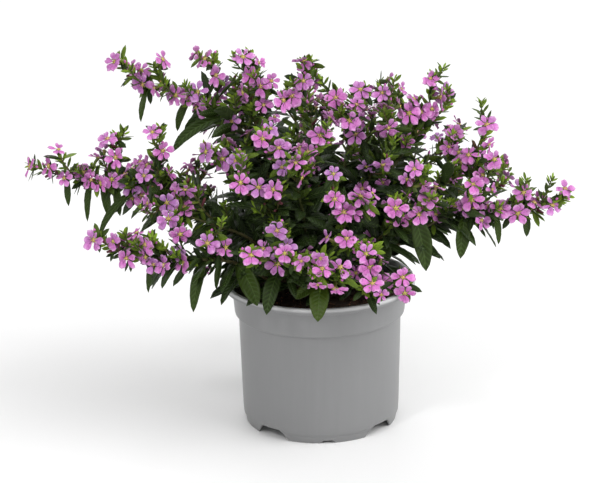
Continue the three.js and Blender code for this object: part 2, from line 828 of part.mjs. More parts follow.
// One body of everything that belongs to a shoot, without loose scraps
function fused(owner) {
  const parts = built.filter((piece) => piece.owner === owner).map((piece) => piece.solid);
  const bodies = wasm.Manifold.union(parts).decompose();
  return bodies.reduce((best, body) => (body.volume() > best.volume() ? body : best));
}

// Materials and nodes

const LEAF_GREEN = new THREE.MeshStandardMaterial({ color: 0x3d5a26, roughness: 0.5, metalness: 0 });
const POT_GREY = new THREE.MeshStandardMaterial({ color: 0x97999b, roughness: 0.55, metalness: 0 });
const SOIL_BROWN = new THREE.MeshStandardMaterial({ color: 0x2b211b, roughness: 0.95, metalness: 0 });

function node(name, body, material) {
  const { vertProperties, triVerts } = body.getMesh();
  const geometry = new THREE.BufferGeometry();
  geometry.setAttribute('position', new THREE.BufferAttribute(vertProperties, 3));
  geometry.setIndex(new THREE.BufferAttribute(triVerts, 1));
  geometry.computeVertexNormals();
  const mesh = new THREE.Mesh(geometry, material);
  mesh.name = name;
  return mesh;
}

const group = new THREE.Group();
const pot = makePot();
const soil = makeSoil(STEMS.map(footOf));
keep('pot', pot, true);
keep('soil', soil, true);
group.add(node('pot', pot, POT_GREY));
group.add(node('soil', soil, SOIL_BROWN));

const shoots = STEMS.map((plan, index) => {
  const name = `shoot_${String(index + 1).padStart(2, '0')}`;
  const main = makeMain(plan);
  const sides = plan.sides.map((side) => ({ ...side, stem: makeSide(main, side) }));
  keep(name, mainSolid(main, plan), true);
  for (const { stem } of sides) keep(name, stem.solid(SIDE_SIDES, stem.knots[0]), true);
  return { name, plan, main, sides, random: draws(7001 + 311 * index) };
});

for (const { name, plan, main } of shoots) {
  for (const { from, tip, wide } of plan.leaves) {
    placeFirst(name, [() => hangingLeaf(main, from, vector(...tip), wide)]);
  }
}
for (const { name, plan, main, sides, random } of shoots) {
  const leafSteps = plan.small ? SMALL_LEAVES : MAIN_LEAVES;
  dressStem(name, main, { flowers: plan.flowers, leafSteps, random });
  for (const { stem, flowers } of sides) {
    dressStem(name, stem, { flowers, leafSteps: SIDE_LEAVES, random });
  }
}
for (const { name } of shoots) group.add(node(name, fused(name), LEAF_GREEN));

export default group;
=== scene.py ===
# %% [markdown]
# # A cigar plant in its nursery pot
#
# A bushy balcony plant: thirty thin stems rise from a small grey pot, lean over its rim and carry
# dark narrow leaves, tufts of bright young leaves and many small lilac-pink flowers. The packed
# model brings the plain solids. This lesson gives each of them its finer form and its finish.
# Lengths are thought out in millimetres, as the plant is measured, and stored in metres.

import math

import bpy
import numpy as np
from mathutils import Matrix, Vector, noise
from mathutils.kdtree import KDTree


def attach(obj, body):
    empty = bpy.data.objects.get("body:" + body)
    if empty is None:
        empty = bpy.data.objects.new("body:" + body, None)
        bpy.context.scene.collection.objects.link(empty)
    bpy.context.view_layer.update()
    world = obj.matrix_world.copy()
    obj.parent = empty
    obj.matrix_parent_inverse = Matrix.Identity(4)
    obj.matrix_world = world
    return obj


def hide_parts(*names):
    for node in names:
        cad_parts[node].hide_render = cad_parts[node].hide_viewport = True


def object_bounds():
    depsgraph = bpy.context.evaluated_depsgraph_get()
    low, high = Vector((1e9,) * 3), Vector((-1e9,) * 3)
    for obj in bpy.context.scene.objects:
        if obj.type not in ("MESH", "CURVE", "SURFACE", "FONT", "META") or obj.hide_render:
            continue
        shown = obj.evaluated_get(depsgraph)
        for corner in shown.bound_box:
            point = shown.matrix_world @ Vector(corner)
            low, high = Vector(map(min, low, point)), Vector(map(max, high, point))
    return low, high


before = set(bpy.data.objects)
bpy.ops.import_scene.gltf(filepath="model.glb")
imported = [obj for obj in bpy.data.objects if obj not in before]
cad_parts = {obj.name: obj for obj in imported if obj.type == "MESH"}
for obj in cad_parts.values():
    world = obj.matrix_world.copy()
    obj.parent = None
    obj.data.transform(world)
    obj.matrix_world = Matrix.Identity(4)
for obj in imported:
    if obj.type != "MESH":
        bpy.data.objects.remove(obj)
cad_box = [list(corner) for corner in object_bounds()]
MM = 0.001
shoots = sorted(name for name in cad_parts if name.startswith("shoot"))
print("Solids:", len(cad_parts), "of which shoots:", len(shoots))
print("Box:", [[round(v, 4) for v in corner] for corner in cad_box])

# %% [markdown]
# ## Camera, floor and light
#
# The picture was taken with a long lens from a little above, so the pot's sides stay almost
# parallel. The camera looks down by 18 degrees from 1.5 metres, and leans one degree to the
# side. Light is what a studio tent gives: one large soft lamp above and to the right, a weaker
# one to the left, one from behind for the edges of the leaves, a small one that draws glints on
# the glossy leaves, and a pale room. The plain "Standard" view keeps pink petals pink, where
# the filmic one would wash them out.

# %% Camera
CAMERA_PITCH = math.radians(17.88)
CAMERA_LEAN = math.radians(1.0)
CAMERA_AIM = Vector((-0.0126, 0.0, 0.1260))
CAMERA_DISTANCE = 1.5
CAMERA_LENS = 133.23
FILM_WIDTH = 36
FARTHEST_SEEN = 50
back = Vector((0, -math.cos(CAMERA_PITCH), math.sin(CAMERA_PITCH)))
right = Vector((1, 0, 0))
above = back.cross(right)
lean_right = right * math.cos(CAMERA_LEAN) - above * math.sin(CAMERA_LEAN)
lean_above = above * math.cos(CAMERA_LEAN) + right * math.sin(CAMERA_LEAN)
bpy.ops.object.camera_add()
camera = bpy.context.object
turn = Matrix((lean_right, lean_above, back)).transposed().to_4x4()
camera.matrix_world = Matrix.Translation(CAMERA_AIM + back * CAMERA_DISTANCE) @ turn
camera.data.lens = CAMERA_LENS
camera.data.sensor_width = FILM_WIDTH
camera.data.clip_end = FARTHEST_SEEN
bpy.context.scene.camera = camera
print("Camera at", [round(v, 3) for v in camera.matrix_world.translation])

# %% Floor and lamps: place and size in metres, power in watts
FLOOR_SIZE = 14
ROOM_LIGHT = 0.6
LAMPS = {
    "key_lamp": dict(place=(1.8, -0.8, 2.0), size=2.2, power=54),
    "fill_lamp": dict(place=(-0.8, -2.1, 2.1), size=2.4, power=12),
    "edge_lamp": dict(place=(-0.4, 1.9, 1.8), size=1.8, power=18),
    "glint_lamp": dict(place=(-0.9, -1.3, 1.6), size=0.25, power=7),
}
bpy.ops.mesh.primitive_plane_add(size=FLOOR_SIZE, location=(0, 0, 0))
floor = bpy.context.object
floor.name = "studio_floor"
for name, plan in LAMPS.items():
    bpy.ops.object.light_add(type="AREA", location=plan["place"])
    lamp = bpy.context.object
    lamp.name = name
    lamp.rotation_euler = (CAMERA_AIM - Vector(plan["place"])).to_track_quat("-Z", "Y").to_euler()
    lamp.data.size = plan["size"]
    lamp.data.energy = plan["power"]
room = bpy.data.worlds.new("pale_room")
bpy.context.scene.world = room
room.use_nodes = True
background = room.node_tree.nodes["Background"].inputs
background["Color"].default_value = (1, 1, 1, 1)
background["Strength"].default_value = ROOM_LIGHT
bpy.context.scene.view_settings.view_transform = "Standard"
print(f"Lamps: {len(LAMPS)}, floor {FLOOR_SIZE} m square")

# %% [markdown]
# ## Finishes as sums
#
# A finish is a small calculation: how dark is this point, how rough, how raised. Node trees say
# that with boxes and threads. A socket that knows how to add and multiply lets the same sum
# stand as one line of Python, and the nodes appear behind it.

# %% A socket that can be added and multiplied
class Wire:
    """One output of a finish's node tree, for use in ordinary sums."""

    def __init__(self, finish, socket):
        self.finish = finish
        self.socket = socket

    def sum(self, operation, first, second):
        """Adds one Math node."""
        settings = {"operation": operation}
        return self.finish.node("ShaderNodeMath", settings, {0: first, 1: second})

    def __add__(self, other):
        return self.sum("ADD", self, other)

    def __sub__(self, other):
        return self.sum("SUBTRACT", self, other)

    def __rsub__(self, other):
        return self.sum("SUBTRACT", other, self)

    def __mul__(self, other):
        return self.sum("MULTIPLY", self, other)

    def __truediv__(self, other):
        return self.sum("DIVIDE", self, other)

    def __pow__(self, other):
        return self.sum("POWER", self, other)

    __radd__ = __add__
    __rmul__ = __mul__

    def sine(self):
        return self.sum("SINE", self, 0)

    def size(self):
        return self.sum("ABSOLUTE", self, 0)

    def clamped(self):
        return self.sum("MINIMUM", self.sum("MAXIMUM", self, 0), 1)


print("A wire can be added, subtracted, multiplied, divided and raised to a power")

# %% A finish, with one method that adds any node
class Finish:
    """A material, with one method that adds any node to it."""

    def __init__(self, name):
        self.material = bpy.data.materials.new(name)
        self.material.use_nodes = True
        self.tree = self.material.node_tree
        self.skin = self.tree.nodes["Principled BSDF"]

    def connect(self, socket, value):
        if isinstance(value, Wire):
            self.tree.links.new(value.socket, socket)
        elif isinstance(value, tuple) and len(value) == 3 and socket.type == "RGBA":
            socket.default_value = (*value, 1)
        else:
            socket.default_value = value

    def node(self, kind, settings, inputs, output=0):
        """Adds a node: its settings first, then the values or wires of its sockets."""
        node = self.tree.nodes.new(kind)
        for name, value in settings.items():
            setattr(node, name, value)
        for name, value in inputs.items():
            self.connect(node.inputs[name], value)
        return Wire(self, node.outputs[output])

    def place(self):
        return self.node("ShaderNodeTexCoord", {}, {}, "Object")

    def mark(self, name):
        """Three numbers that a mesh carries at each point, as a colour."""
        settings = {"attribute_name": name, "attribute_type": "GEOMETRY"}
        colour = self.node("ShaderNodeAttribute", settings, {}, "Color")
        return [self.node("ShaderNodeSeparateColor", {}, {0: colour}, k) for k in range(3)]

    def cloud(self, scale, detail=3.0, rough=0.5, where=None):
        inputs = {"Scale": scale, "Detail": detail, "Roughness": rough}
        inputs["Vector"] = where or self.place()
        return self.node("ShaderNodeTexNoise", {}, inputs)

    def blend(self, share, first, second):
        """From the first colour to the second, by a share from 0 to 1."""
        settings = {"data_type": "RGBA", "clamp_factor": True}
        return self.node("ShaderNodeMix", settings, {0: share, 6: first, 7: second}, 2)

    def bump(self, height, strength, distance):
        inputs = {"Height": height, "Strength": strength, "Distance": distance}
        return self.node("ShaderNodeBump", {}, inputs)

    def wear(self, **values):
        """Sets sockets of the skin, by their names with lines for spaces."""
        for name, value in values.items():
            self.connect(self.skin.inputs[name.replace("_", " ")], value)


print("A finish can place, mark, cloud, blend, bump and wear")

# %% Floor finish
floor_paint = Finish("pale_floor")
floor_paint.wear(
    Base_Color=floor_paint.blend(
        floor_paint.cloud(0.6), (0.87, 0.87, 0.87), (0.9, 0.9, 0.9)),
    Roughness=0.85)
floor.data.materials.append(floor_paint.material)
print("Floor finish laid")

# %% [markdown]
# ## The pot
#
# A nursery pot is moulded in one go from thin polypropylene: a rolled lip to lift it by, a
# straight collar that keeps stacked pots apart, a tapered wall, and a foot ring with gaps that
# let water out. Everything but the gaps is round, so a disc is grown into the wall ring by ring,
# as a lathe would turn it, and the gaps are cut by wedges. A wall of 128 sides looks round from
# near, where the plain solid has 32.

# %% Helpers for modelling by hand
def deselect():
    bpy.ops.object.select_all(action="DESELECT")


def choose(body, test):
    """In edit mode, selects the vertices that a test on their place picks."""
    bpy.ops.mesh.select_all(action="DESELECT")
    bpy.ops.mesh.select_mode(type="VERT")
    bpy.ops.object.mode_set(mode="OBJECT")
    for vertex in body.data.vertices:
        vertex.select = test(vertex.co)
    bpy.ops.object.mode_set(mode="EDIT")


def applied(body, kind, **settings):
    """Gives the active object a modifier, sets it and applies it."""
    modifier = body.modifiers.new("shaping", kind)
    for name, value in settings.items():
        setattr(modifier, name, value)
    bpy.ops.object.modifier_apply(modifier=modifier.name)


def turned(profile, sides):
    """A closed round body: a disc at the first radius and height, then ring after ring."""
    deselect()
    radius, height = profile[0]
    bpy.ops.mesh.primitive_circle_add(
        vertices=sides, radius=radius * MM, fill_type="NGON", location=(0, 0, height * MM))
    body = bpy.context.object
    bpy.ops.object.mode_set(mode="EDIT")
    bpy.ops.mesh.select_all(action="SELECT")
    for (radius, height), (wider, higher) in zip(profile, profile[1:]):
        rise = {"value": (0, 0, (higher - height) * MM)}
        bpy.ops.mesh.extrude_region_move(TRANSFORM_OT_translate=rise)
        bpy.ops.transform.resize(
            value=(wider / radius, wider / radius, 1), center_override=(0, 0, higher * MM))
    bpy.ops.mesh.select_all(action="SELECT")
    bpy.ops.mesh.normals_make_consistent(inside=False)
    bpy.ops.object.mode_set(mode="OBJECT")
    bpy.ops.object.transform_apply()
    return body


def finished(piece, name, nodes, materials):
    """Names a piece, gives it its finish and ties it to the body that it rides on."""
    piece.name = name
    piece.data.name = name
    for material in materials:
        piece.data.materials.append(material)
    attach(piece, "root")
    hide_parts(*nodes)
    piece.data.calc_loop_triangles()
    print(f"{name}: {len(piece.data.loop_triangles)} triangles")
    deselect()


print("Modelling in millimetres of", MM, "m")

# %% Turn the pot
POT_OUTSIDE = [
    (7.6, 0.0), (8.0, 0.4), (10.0, 8.0), (50.2, 8.0), (50.4, 7.8), (50.5, 0.3), (50.8, 0.0),
    (51.3, 0.0), (51.6, 0.4), (52.5, 5.2), (53.0, 5.6), (53.2, 6.1), (53.6, 12.0),
    (54.4, 44.0), (55.2, 75.8), (55.5, 76.5), (56.2, 77.0), (57.2, 77.3), (57.7, 77.9),
    (58.0, 79.5), (59.3, 94.4), (59.6, 95.2), (60.4, 95.6), (64.0, 95.6), (64.7, 95.9),
    (65.0, 96.7), (65.0, 98.3), (64.8, 99.1), (64.3, 99.7), (63.4, 100.0), (62.4, 99.9),
    (61.4, 99.3), (60.4, 98.0),
]
POT_INSIDE = [
    (59.2, 96.8), (58.2, 94.6), (56.7, 79.6), (56.2, 78.7), (54.4, 77.4), (54.0, 76.6),
    (52.4, 13.4), (51.9, 10.6), (50.6, 9.3), (30.0, 9.2),
]
POT_SIDES = 128
pot = turned(POT_OUTSIDE + POT_INSIDE, POT_SIDES)
print("Pot rings:", len(POT_OUTSIDE) + len(POT_INSIDE))

# %% [markdown]
# The foot ring stands on four stretches. Between them lie four wide gaps with slanted ends, and
# each stretch has a small notch in its middle. The wedges are cubes that are narrower at the
# top, with rounded edges, and the floor's drain holes are cut in the same step.

# %% Cut the gaps, the notches and the drain holes
FEET = 4
FEET_TURN = 4.3
FOOT_RADIUS = 51.6
NOTCH = dict(half=6.5, top_half=3.2, height=2.0, round_by=0.5)
GAP = dict(half=14.6, top_half=7.8, height=7.4, round_by=1.6)
CUT_DEPTH = 12
DRAINS = 6
DRAIN_RING, DRAIN_RADIUS, DRAIN_DEPTH = 34, 4, 4
FLOOR_MIDDLE = 8.6
SHARP_EDGE = math.radians(28)


def wedge(half, top_half, height, round_by, bearing):
    """A wedge through the foot ring at a bearing, counted from the front."""
    deselect()
    bpy.ops.mesh.primitive_cube_add(size=1)
    body = bpy.context.object
    body.scale = (2 * half * MM, CUT_DEPTH * MM, (height + 1) * MM)
    body.location = (0, (-FOOT_RADIUS + 1) * MM, (height - 1) / 2 * MM)
    bpy.ops.object.transform_apply()
    bpy.ops.object.mode_set(mode="EDIT")
    choose(body, lambda place: place.z > 0)
    bpy.ops.transform.resize(value=(top_half / half, 1, 1))
    bpy.ops.object.mode_set(mode="OBJECT")
    applied(body, "BEVEL", width=round_by * MM, segments=4)
    body.rotation_euler.z = math.radians(bearing)
    bpy.ops.object.transform_apply()
    return body


cutters = []
for foot in range(FEET):
    bearing = FEET_TURN + 360 / FEET * foot
    cutters.append(wedge(**NOTCH, bearing=bearing))
    cutters.append(wedge(**GAP, bearing=bearing + 180 / FEET))
for k in range(DRAINS):
    angle = math.radians(360 / DRAINS * (k + 0.5))
    x, y = DRAIN_RING * MM * math.cos(angle), DRAIN_RING * MM * math.sin(angle)
    bpy.ops.mesh.primitive_cylinder_add(
        vertices=20, radius=DRAIN_RADIUS * MM, depth=DRAIN_DEPTH * MM,
        location=(x, y, FLOOR_MIDDLE * MM))
    cutters.append(bpy.context.object)
deselect()
for cutter in cutters:
    cutter.select_set(True)
bpy.context.view_layer.objects.active = cutters[0]
bpy.ops.object.join()
deselect()
bpy.context.view_layer.objects.active = pot
applied(pot, "BOOLEAN", operation="DIFFERENCE", solver="EXACT", object=cutters[0])
bpy.data.objects.remove(cutters[0])
pot.select_set(True)
bpy.ops.object.shade_smooth_by_angle(angle=SHARP_EDGE)
print("Pot faces after cutting:", len(pot.data.polygons))

# %% [markdown]
# The plastic is a flat mid grey with a silky sheen. It has a very fine grain from the mould, a
# little unevenness in its gloss, faint upright flow lines, and a dusty, slightly darker foot.
# A paler top of the lip is a painted highlight, where light catches its rounded edge.

# %% Pot finish
plastic = Finish("pot_plastic")
where = plastic.place()
height = plastic.node("ShaderNodeSeparateXYZ", {}, {0: where}, 2)
stretched = plastic.node(
    "ShaderNodeMapping", {}, {"Vector": where, "Scale": (1, 1, 0.08)})
flow = plastic.cloud(260, 2, 0.5, stretched)
grain = plastic.cloud(1500, 2, 0.6)
patches = plastic.cloud(22, 3, 0.5)
dust = (1 - height / 0.03).clamped() * 0.35 + patches * 0.25
body_grey = plastic.blend(flow * 0.5 + patches * 0.4, (0.205, 0.207, 0.21), (0.24, 0.242, 0.246))
# Painted highlight: the top of the lip is blended to a pale grey.
lip = ((height - 0.0972) / 0.0016).clamped()
body_grey = plastic.blend(lip * 0.85, body_grey, (0.7, 0.7, 0.71))
plastic.wear(
    Base_Color=plastic.blend(dust * 0.5, body_grey, (0.215, 0.213, 0.21)),
    Roughness=0.32 + patches * 0.12 + grain * 0.06,
    Normal=plastic.bump(grain * 0.7 + flow * 0.3, 0.12, 0.0004))
finished(pot, "pot_wall", ["pot"], [plastic.material])

# %% [markdown]
# ## The soil
#
# Potting soil settles into a loose bed of peat crumbs, bits of bark and pale specks. The bed is
# one turned body whose top has many rings, so that it can be roughened by a cloud pattern. Real
# crumbs then lie on it: two lumps and a splinter, each modelled once and copied many times.

# %% Soil bed
SOIL_TOP = 92.0
SOIL_EDGE = 57.2
SOIL_SIDES = 96
soil_rings = [(50.0, 9.8), (51.8, 13.6), (53.4, 76.6), (53.6, 77.8), (55.8, 79.4)]
soil_rings += [(SOIL_EDGE, SOIL_TOP - 0.6)]
soil_rings += [(radius, SOIL_TOP) for radius in np.arange(56.4, 1.5, -1.6)]
soil = turned(soil_rings, SOIL_SIDES)


def soil_height(x, y):
    """The same low swells as the plain solid has, in millimetres."""
    ridge = math.sin(x * 0.19 + 1.1) * math.cos(y * 0.23 - 0.4)
    return SOIL_TOP + 0.9 * ridge + 0.5 * math.sin(x * 0.47 - y * 0.39)


for vertex in soil.data.vertices:
    x, y, z = (value / MM for value in vertex.co)
    if z > SOIL_TOP - 1:
        rough = noise.fractal(Vector((x, y, 3.0)) * 0.35, 1.0, 2.0, 3)
        fade = min(1.0, (SOIL_EDGE + 1 - math.hypot(x, y)) / 3)
        vertex.co.z = (soil_height(x, y) * fade + SOIL_TOP * (1 - fade) + 0.9 * rough) * MM
soil.select_set(True)
bpy.context.view_layer.objects.active = soil
bpy.ops.object.shade_smooth()
print("Soil bed points:", len(soil.data.vertices))

# %% [markdown]
# ## Shapes that repeat
#
# Leaves, petals, tubes and crumbs are each modelled once, by hand, and then laid many times. A
# modelled shape is read as numbers here, and a bed collects its copies in one mesh. Each point
# of a copy also carries three numbers, its tone, its youth and which side it is on, so that one
# finish can give every leaf and petal a shade of its own. A shape's spread is its flat map, for
# finishes that follow its length and breadth.

# %% Read a modelled shape as numbers
class Shape:
    """The points and faces of a modelled shape, in millimetres, ready to be copied."""

    def __init__(self, body):
        mesh = body.data
        self.points = np.empty((len(mesh.vertices), 3))
        mesh.vertices.foreach_get("co", self.points.ravel())
        self.points /= MM
        self.corners = np.empty(len(mesh.loops), int)
        mesh.loops.foreach_get("vertex_index", self.corners)
        self.counts = np.empty(len(mesh.polygons), int)
        mesh.polygons.foreach_get("loop_total", self.counts)
        self.under = np.zeros(len(self.points))
        self.spread = np.zeros((len(self.points), 2))
        bpy.data.objects.remove(body)


print("A shape is read in millimetres,", round(1 / MM), "to a metre")

# %% Lay copies of shapes, and make one mesh of them
class Bed:
    """Collects copies of shapes, and makes one mesh of them."""

    def __init__(self):
        self.points, self.corners, self.counts = [], [], []
        self.marks, self.spread, self.slots = [], [], []
        self.total = 0

    def lay(self, shape, points, tone, youth=0.0, slot=0):
        """One copy of a shape with its points moved to new places."""
        self.points.append(points)
        self.corners.append(shape.corners + self.total)
        self.counts.append(shape.counts)
        marks = np.empty((len(points), 3))
        marks[:, 0], marks[:, 1], marks[:, 2] = tone, youth, shape.under
        self.marks.append(marks)
        self.spread.append(shape.spread[shape.corners])
        self.slots.append(np.full(len(shape.counts), slot))
        self.total += len(points)

    def made(self, smooth=True):
        """The finished object, with its place in its mesh."""
        points = np.concatenate(self.points) * MM
        corners = np.concatenate(self.corners)
        counts = np.concatenate(self.counts)
        mesh = bpy.data.meshes.new("bed")
        mesh.vertices.add(len(points))
        mesh.vertices.foreach_set("co", points.ravel())
        mesh.loops.add(len(corners))
        mesh.loops.foreach_set("vertex_index", corners)
        mesh.polygons.add(len(counts))
        starts = np.concatenate([[0], np.cumsum(counts)[:-1]])
        mesh.polygons.foreach_set("loop_start", starts)
        mesh.polygons.foreach_set("material_index", np.concatenate(self.slots))
        mesh.update(calc_edges=True)
        mesh.validate()
        mesh.polygons.foreach_set("use_smooth", np.full(len(counts), smooth))
        flat = mesh.uv_layers.new(name="spread")
        flat.data.foreach_set("uv", np.concatenate(self.spread).ravel())
        marks = mesh.attributes.new("marks", "FLOAT_COLOR", "POINT")
        colours = np.ones((len(points), 4))
        colours[:, :3] = np.concatenate(self.marks)
        marks.data.foreach_set("color", colours.ravel())
        body = bpy.data.objects.new("bed", mesh)
        bpy.context.scene.collection.objects.link(body)
        return body


print("Each point of a copy carries its tone, its youth and its side")

# %% Soil crumbs
def crumb(seed, stretch):
    """A rough lump about 2 mm across, from a ball whose points are pushed about."""
    deselect()
    bpy.ops.mesh.primitive_ico_sphere_add(subdivisions=1, radius=MM)
    lump = bpy.context.object
    bpy.ops.object.mode_set(mode="EDIT")
    bpy.ops.transform.vertex_random(offset=0.35 * MM, seed=seed)
    bpy.ops.transform.resize(value=stretch)
    bpy.ops.object.mode_set(mode="OBJECT")
    return Shape(lump)


crumbs = [crumb(3, (1, 0.8, 0.6)), crumb(8, (1.2, 0.7, 0.5)), crumb(5, (2.4, 0.35, 0.3))]
CRUMB_SHARES = (0.45, 0.35, 0.2)
SPLINTER = 2
CRUMBS = 900
CRUMB_REACH = 55.5
FULL_TURN = 6.28
CRUMB_SEED = 11
dice = np.random.default_rng(CRUMB_SEED)
litter = Bed()
for _ in range(CRUMBS):
    radius = CRUMB_REACH * math.sqrt(dice.random())
    angle = 2 * math.pi * dice.random()
    x, y = radius * math.cos(angle), radius * math.sin(angle)
    kind = int(dice.choice(len(crumbs), p=CRUMB_SHARES))
    size = 0.45 + 0.9 * dice.random() ** 2
    spin = Matrix.Rotation(FULL_TURN * dice.random(), 3, "Z")
    lean = Matrix.Rotation(0.5 * dice.normal(), 3, "X")
    points = crumbs[kind].points * size @ np.array(spin @ lean).T
    points += (x, y, soil_height(x, y) + 0.35 * size + 0.2)
    litter.lay(crumbs[kind], points, dice.random(), 1.0 if kind == SPLINTER else 0.0)
soil_litter = litter.made(smooth=False)
print("Crumbs laid:", CRUMBS)

# %% Soil finish
earth = Finish("potting_soil")
tone, fibre, _ = earth.mark("marks")
fine = earth.cloud(900, 4, 0.65)
wide = earth.cloud(90, 3, 0.6)
peat = earth.blend(fine * 1.3 - 0.2, (0.010, 0.006, 0.004), (0.07, 0.036, 0.02))
peat = earth.blend((wide - 0.5) * 3, peat, (0.09, 0.034, 0.018))
peat = earth.blend((tone - 0.62) * 3, peat, (0.30, 0.13, 0.07))
peat = earth.blend(fibre * tone, peat, (0.26, 0.14, 0.065))
earth.wear(
    Base_Color=peat, Roughness=0.9,
    Normal=earth.bump(fine, 0.7, 0.001))
finished(soil, "soil_bed", ["soil"], [earth.material])
finished(soil_litter, "soil_crumbs", ["soil"], [earth.material])

# %% [markdown]
# ## Where everything grows
#
# Each stem stands in one of three rings of the soil and passes through a few known points. Its
# side sprays and its hanging leaves reach known tips. The rest follows rules that a gardener
# would recognise: opposite pairs of leaves, each pair turned a quarter from the last, and
# flowers one by one along the outer stretch, swinging left and right.

# %% The ten low stems, in millimetres
LOW = 27
STEMS = [
    dict(ring=LOW, bearing=-170, flowers=5,
         route=[
             (-48, -6, 126), (-88, -8, 156), (-130, -10, 171), (-170, -10, 178), (-192, -10, 187),
         ],
         sides=[(0.56, (-104, -2, 208), 3), (0.7, (-133, -6, 205), 2)],
         leaves=[(0.7, (-132, -16, 151), 7), (0.78, (-154, -14, 147), 6)]),
    dict(ring=LOW, bearing=-147, flowers=6,
         route=[
             (-40, -34, 115), (-62, -50, 130), (-95, -56, 133), (-126, -56, 137), (-147, -55, 151),
         ],
         sides=[
             (0.42, (-70, -62, 152), 2), (0.58, (-95, -48, 163), 2), (0.68, (-111, -60, 151), 1),
         ],
         leaves=[
             (0.36, (-41, -70, 105), 15), (0.5, (-83, -63, 99), 9.5), (0.6, (-103, -61, 115), 6),
             (0.43, (-68, -53, 111), 5),
         ]),
    dict(ring=LOW, bearing=-118, flowers=3,
         route=[(-20, -48, 116), (-32, -72, 137), (-49, -88, 147)],
         sides=[(0.55, (-22, -88, 166), 2), (0.45, (-17, -94, 146), 1)],
         leaves=[(0.55, (-35, -79, 102), 12)]),
    dict(ring=LOW, bearing=-90, flowers=3, small=True,
         route=[(1, -50, 113), (0, -76, 127), (-4, -97, 136)],
         sides=[(0.55, (16, -95, 134), 2)],
         leaves=[(0.5, (-2, -80, 97), 15), (0.35, (-16, -58, 105), 9)]),
    dict(ring=LOW, bearing=-58, flowers=3, small=True,
         route=[(24, -46, 110), (37, -66, 118), (56, -76, 120)],
         sides=[(0.4, (33, -78, 147), 2), (0.55, (28, -88, 122), 1)]),
    dict(ring=LOW, bearing=-8, flowers=7,
         route=[(50, -8, 123), (88, -11, 146), (121, -12, 146), (148, -10, 150), (168, -10, 160)],
         sides=[(0.56, (105, -18, 162), 2), (0.74, (139, -14, 165), 2)],
         leaves=[(0.56, (94, -25, 120), 12), (0.68, (120, -17, 127), 6)]),
    dict(ring=LOW, bearing=32, flowers=3,
         route=[(56, 36, 120), (96, 58, 139), (134, 76, 154)],
         sides=[(0.6, (104, 82, 158), 1), (0.7, (132, 54, 150), 1)]),
    dict(ring=LOW, bearing=78, flowers=3,
         route=[(14, 62, 120), (24, 102, 137), (32, 132, 152)],
         sides=[(0.6, (4, 118, 160), 1), (0.55, (48, 108, 150), 1)]),
    dict(ring=LOW, bearing=142, flowers=3,
         route=[(-54, 44, 122), (-92, 68, 139), (-128, 88, 153)],
         sides=[(0.6, (-84, 96, 156), 1), (0.7, (-130, 66, 148), 1)]),
    dict(ring=LOW, bearing=166, flowers=2,
         route=[(-60, 24, 130), (-102, 40, 150), (-140, 52, 163)],
         sides=[(0.65, (-118, 24, 172), 1)]),
]
print("Stems:", len(STEMS))

# %% The ten middle stems
MIDDLE = 20.5
STEMS += [
    dict(ring=MIDDLE, bearing=-157, flowers=3,
         route=[(-44, -28, 136), (-78, -38, 154), (-114, -42, 169)],
         sides=[(0.6, (-86, -42, 182), 1)]),
    dict(ring=MIDDLE, bearing=176, flowers=2,
         route=[(-36, -6, 146), (-58, -14, 178), (-75, -20, 200)],
         sides=[(0.6, (-50, -26, 196), 1)]),
    dict(ring=MIDDLE, bearing=-124, flowers=2,
         route=[(-24, -34, 144), (-38, -46, 170), (-52, -52, 188)],
         sides=[(0.6, (-24, -58, 184), 1)]),
    dict(ring=MIDDLE, bearing=-76, flowers=3,
         route=[(14, -38, 142), (23, -57, 163), (32, -70, 176)],
         sides=[(0.6, (9, -68, 182), 2), (0.5, (22, -80, 150), 1)]),
    dict(ring=MIDDLE, bearing=-40, flowers=3,
         route=[(36, -28, 132), (58, -42, 154), (77, -50, 169)],
         sides=[(0.62, (66, -46, 192), 2), (0.6, (52, -60, 172), 1)],
         leaves=[(0.8, (70, -44, 118), 15), (0.5, (43, -42, 122), 13)]),
    dict(ring=MIDDLE, bearing=-5, flowers=3,
         route=[(46, 4, 138), (78, 2, 160), (99, -1, 176), (115, 0, 208)],
         sides=[(0.6, (96, 18, 197), 2), (0.7, (121, -8, 184), 2)]),
    dict(ring=MIDDLE, bearing=24, flowers=2,
         route=[(46, 24, 144), (78, 40, 172), (100, 50, 188)],
         sides=[(0.62, (74, 54, 196), 1)]),
    dict(ring=MIDDLE, bearing=54, flowers=2,
         route=[(34, 50, 148), (58, 80, 176), (76, 100, 190)],
         sides=[(0.62, (50, 92, 198), 1)]),
    dict(ring=MIDDLE, bearing=92, flowers=2,
         route=[(-2, 56, 148), (-6, 92, 176), (-10, 120, 190)],
         sides=[(0.62, (12, 100, 192), 1)]),
    dict(ring=MIDDLE, bearing=128, flowers=2,
         route=[(-34, 50, 150), (-60, 80, 178), (-80, 102, 192)],
         sides=[(0.62, (-50, 96, 196), 1)]),
]
print("Stems:", len(STEMS))

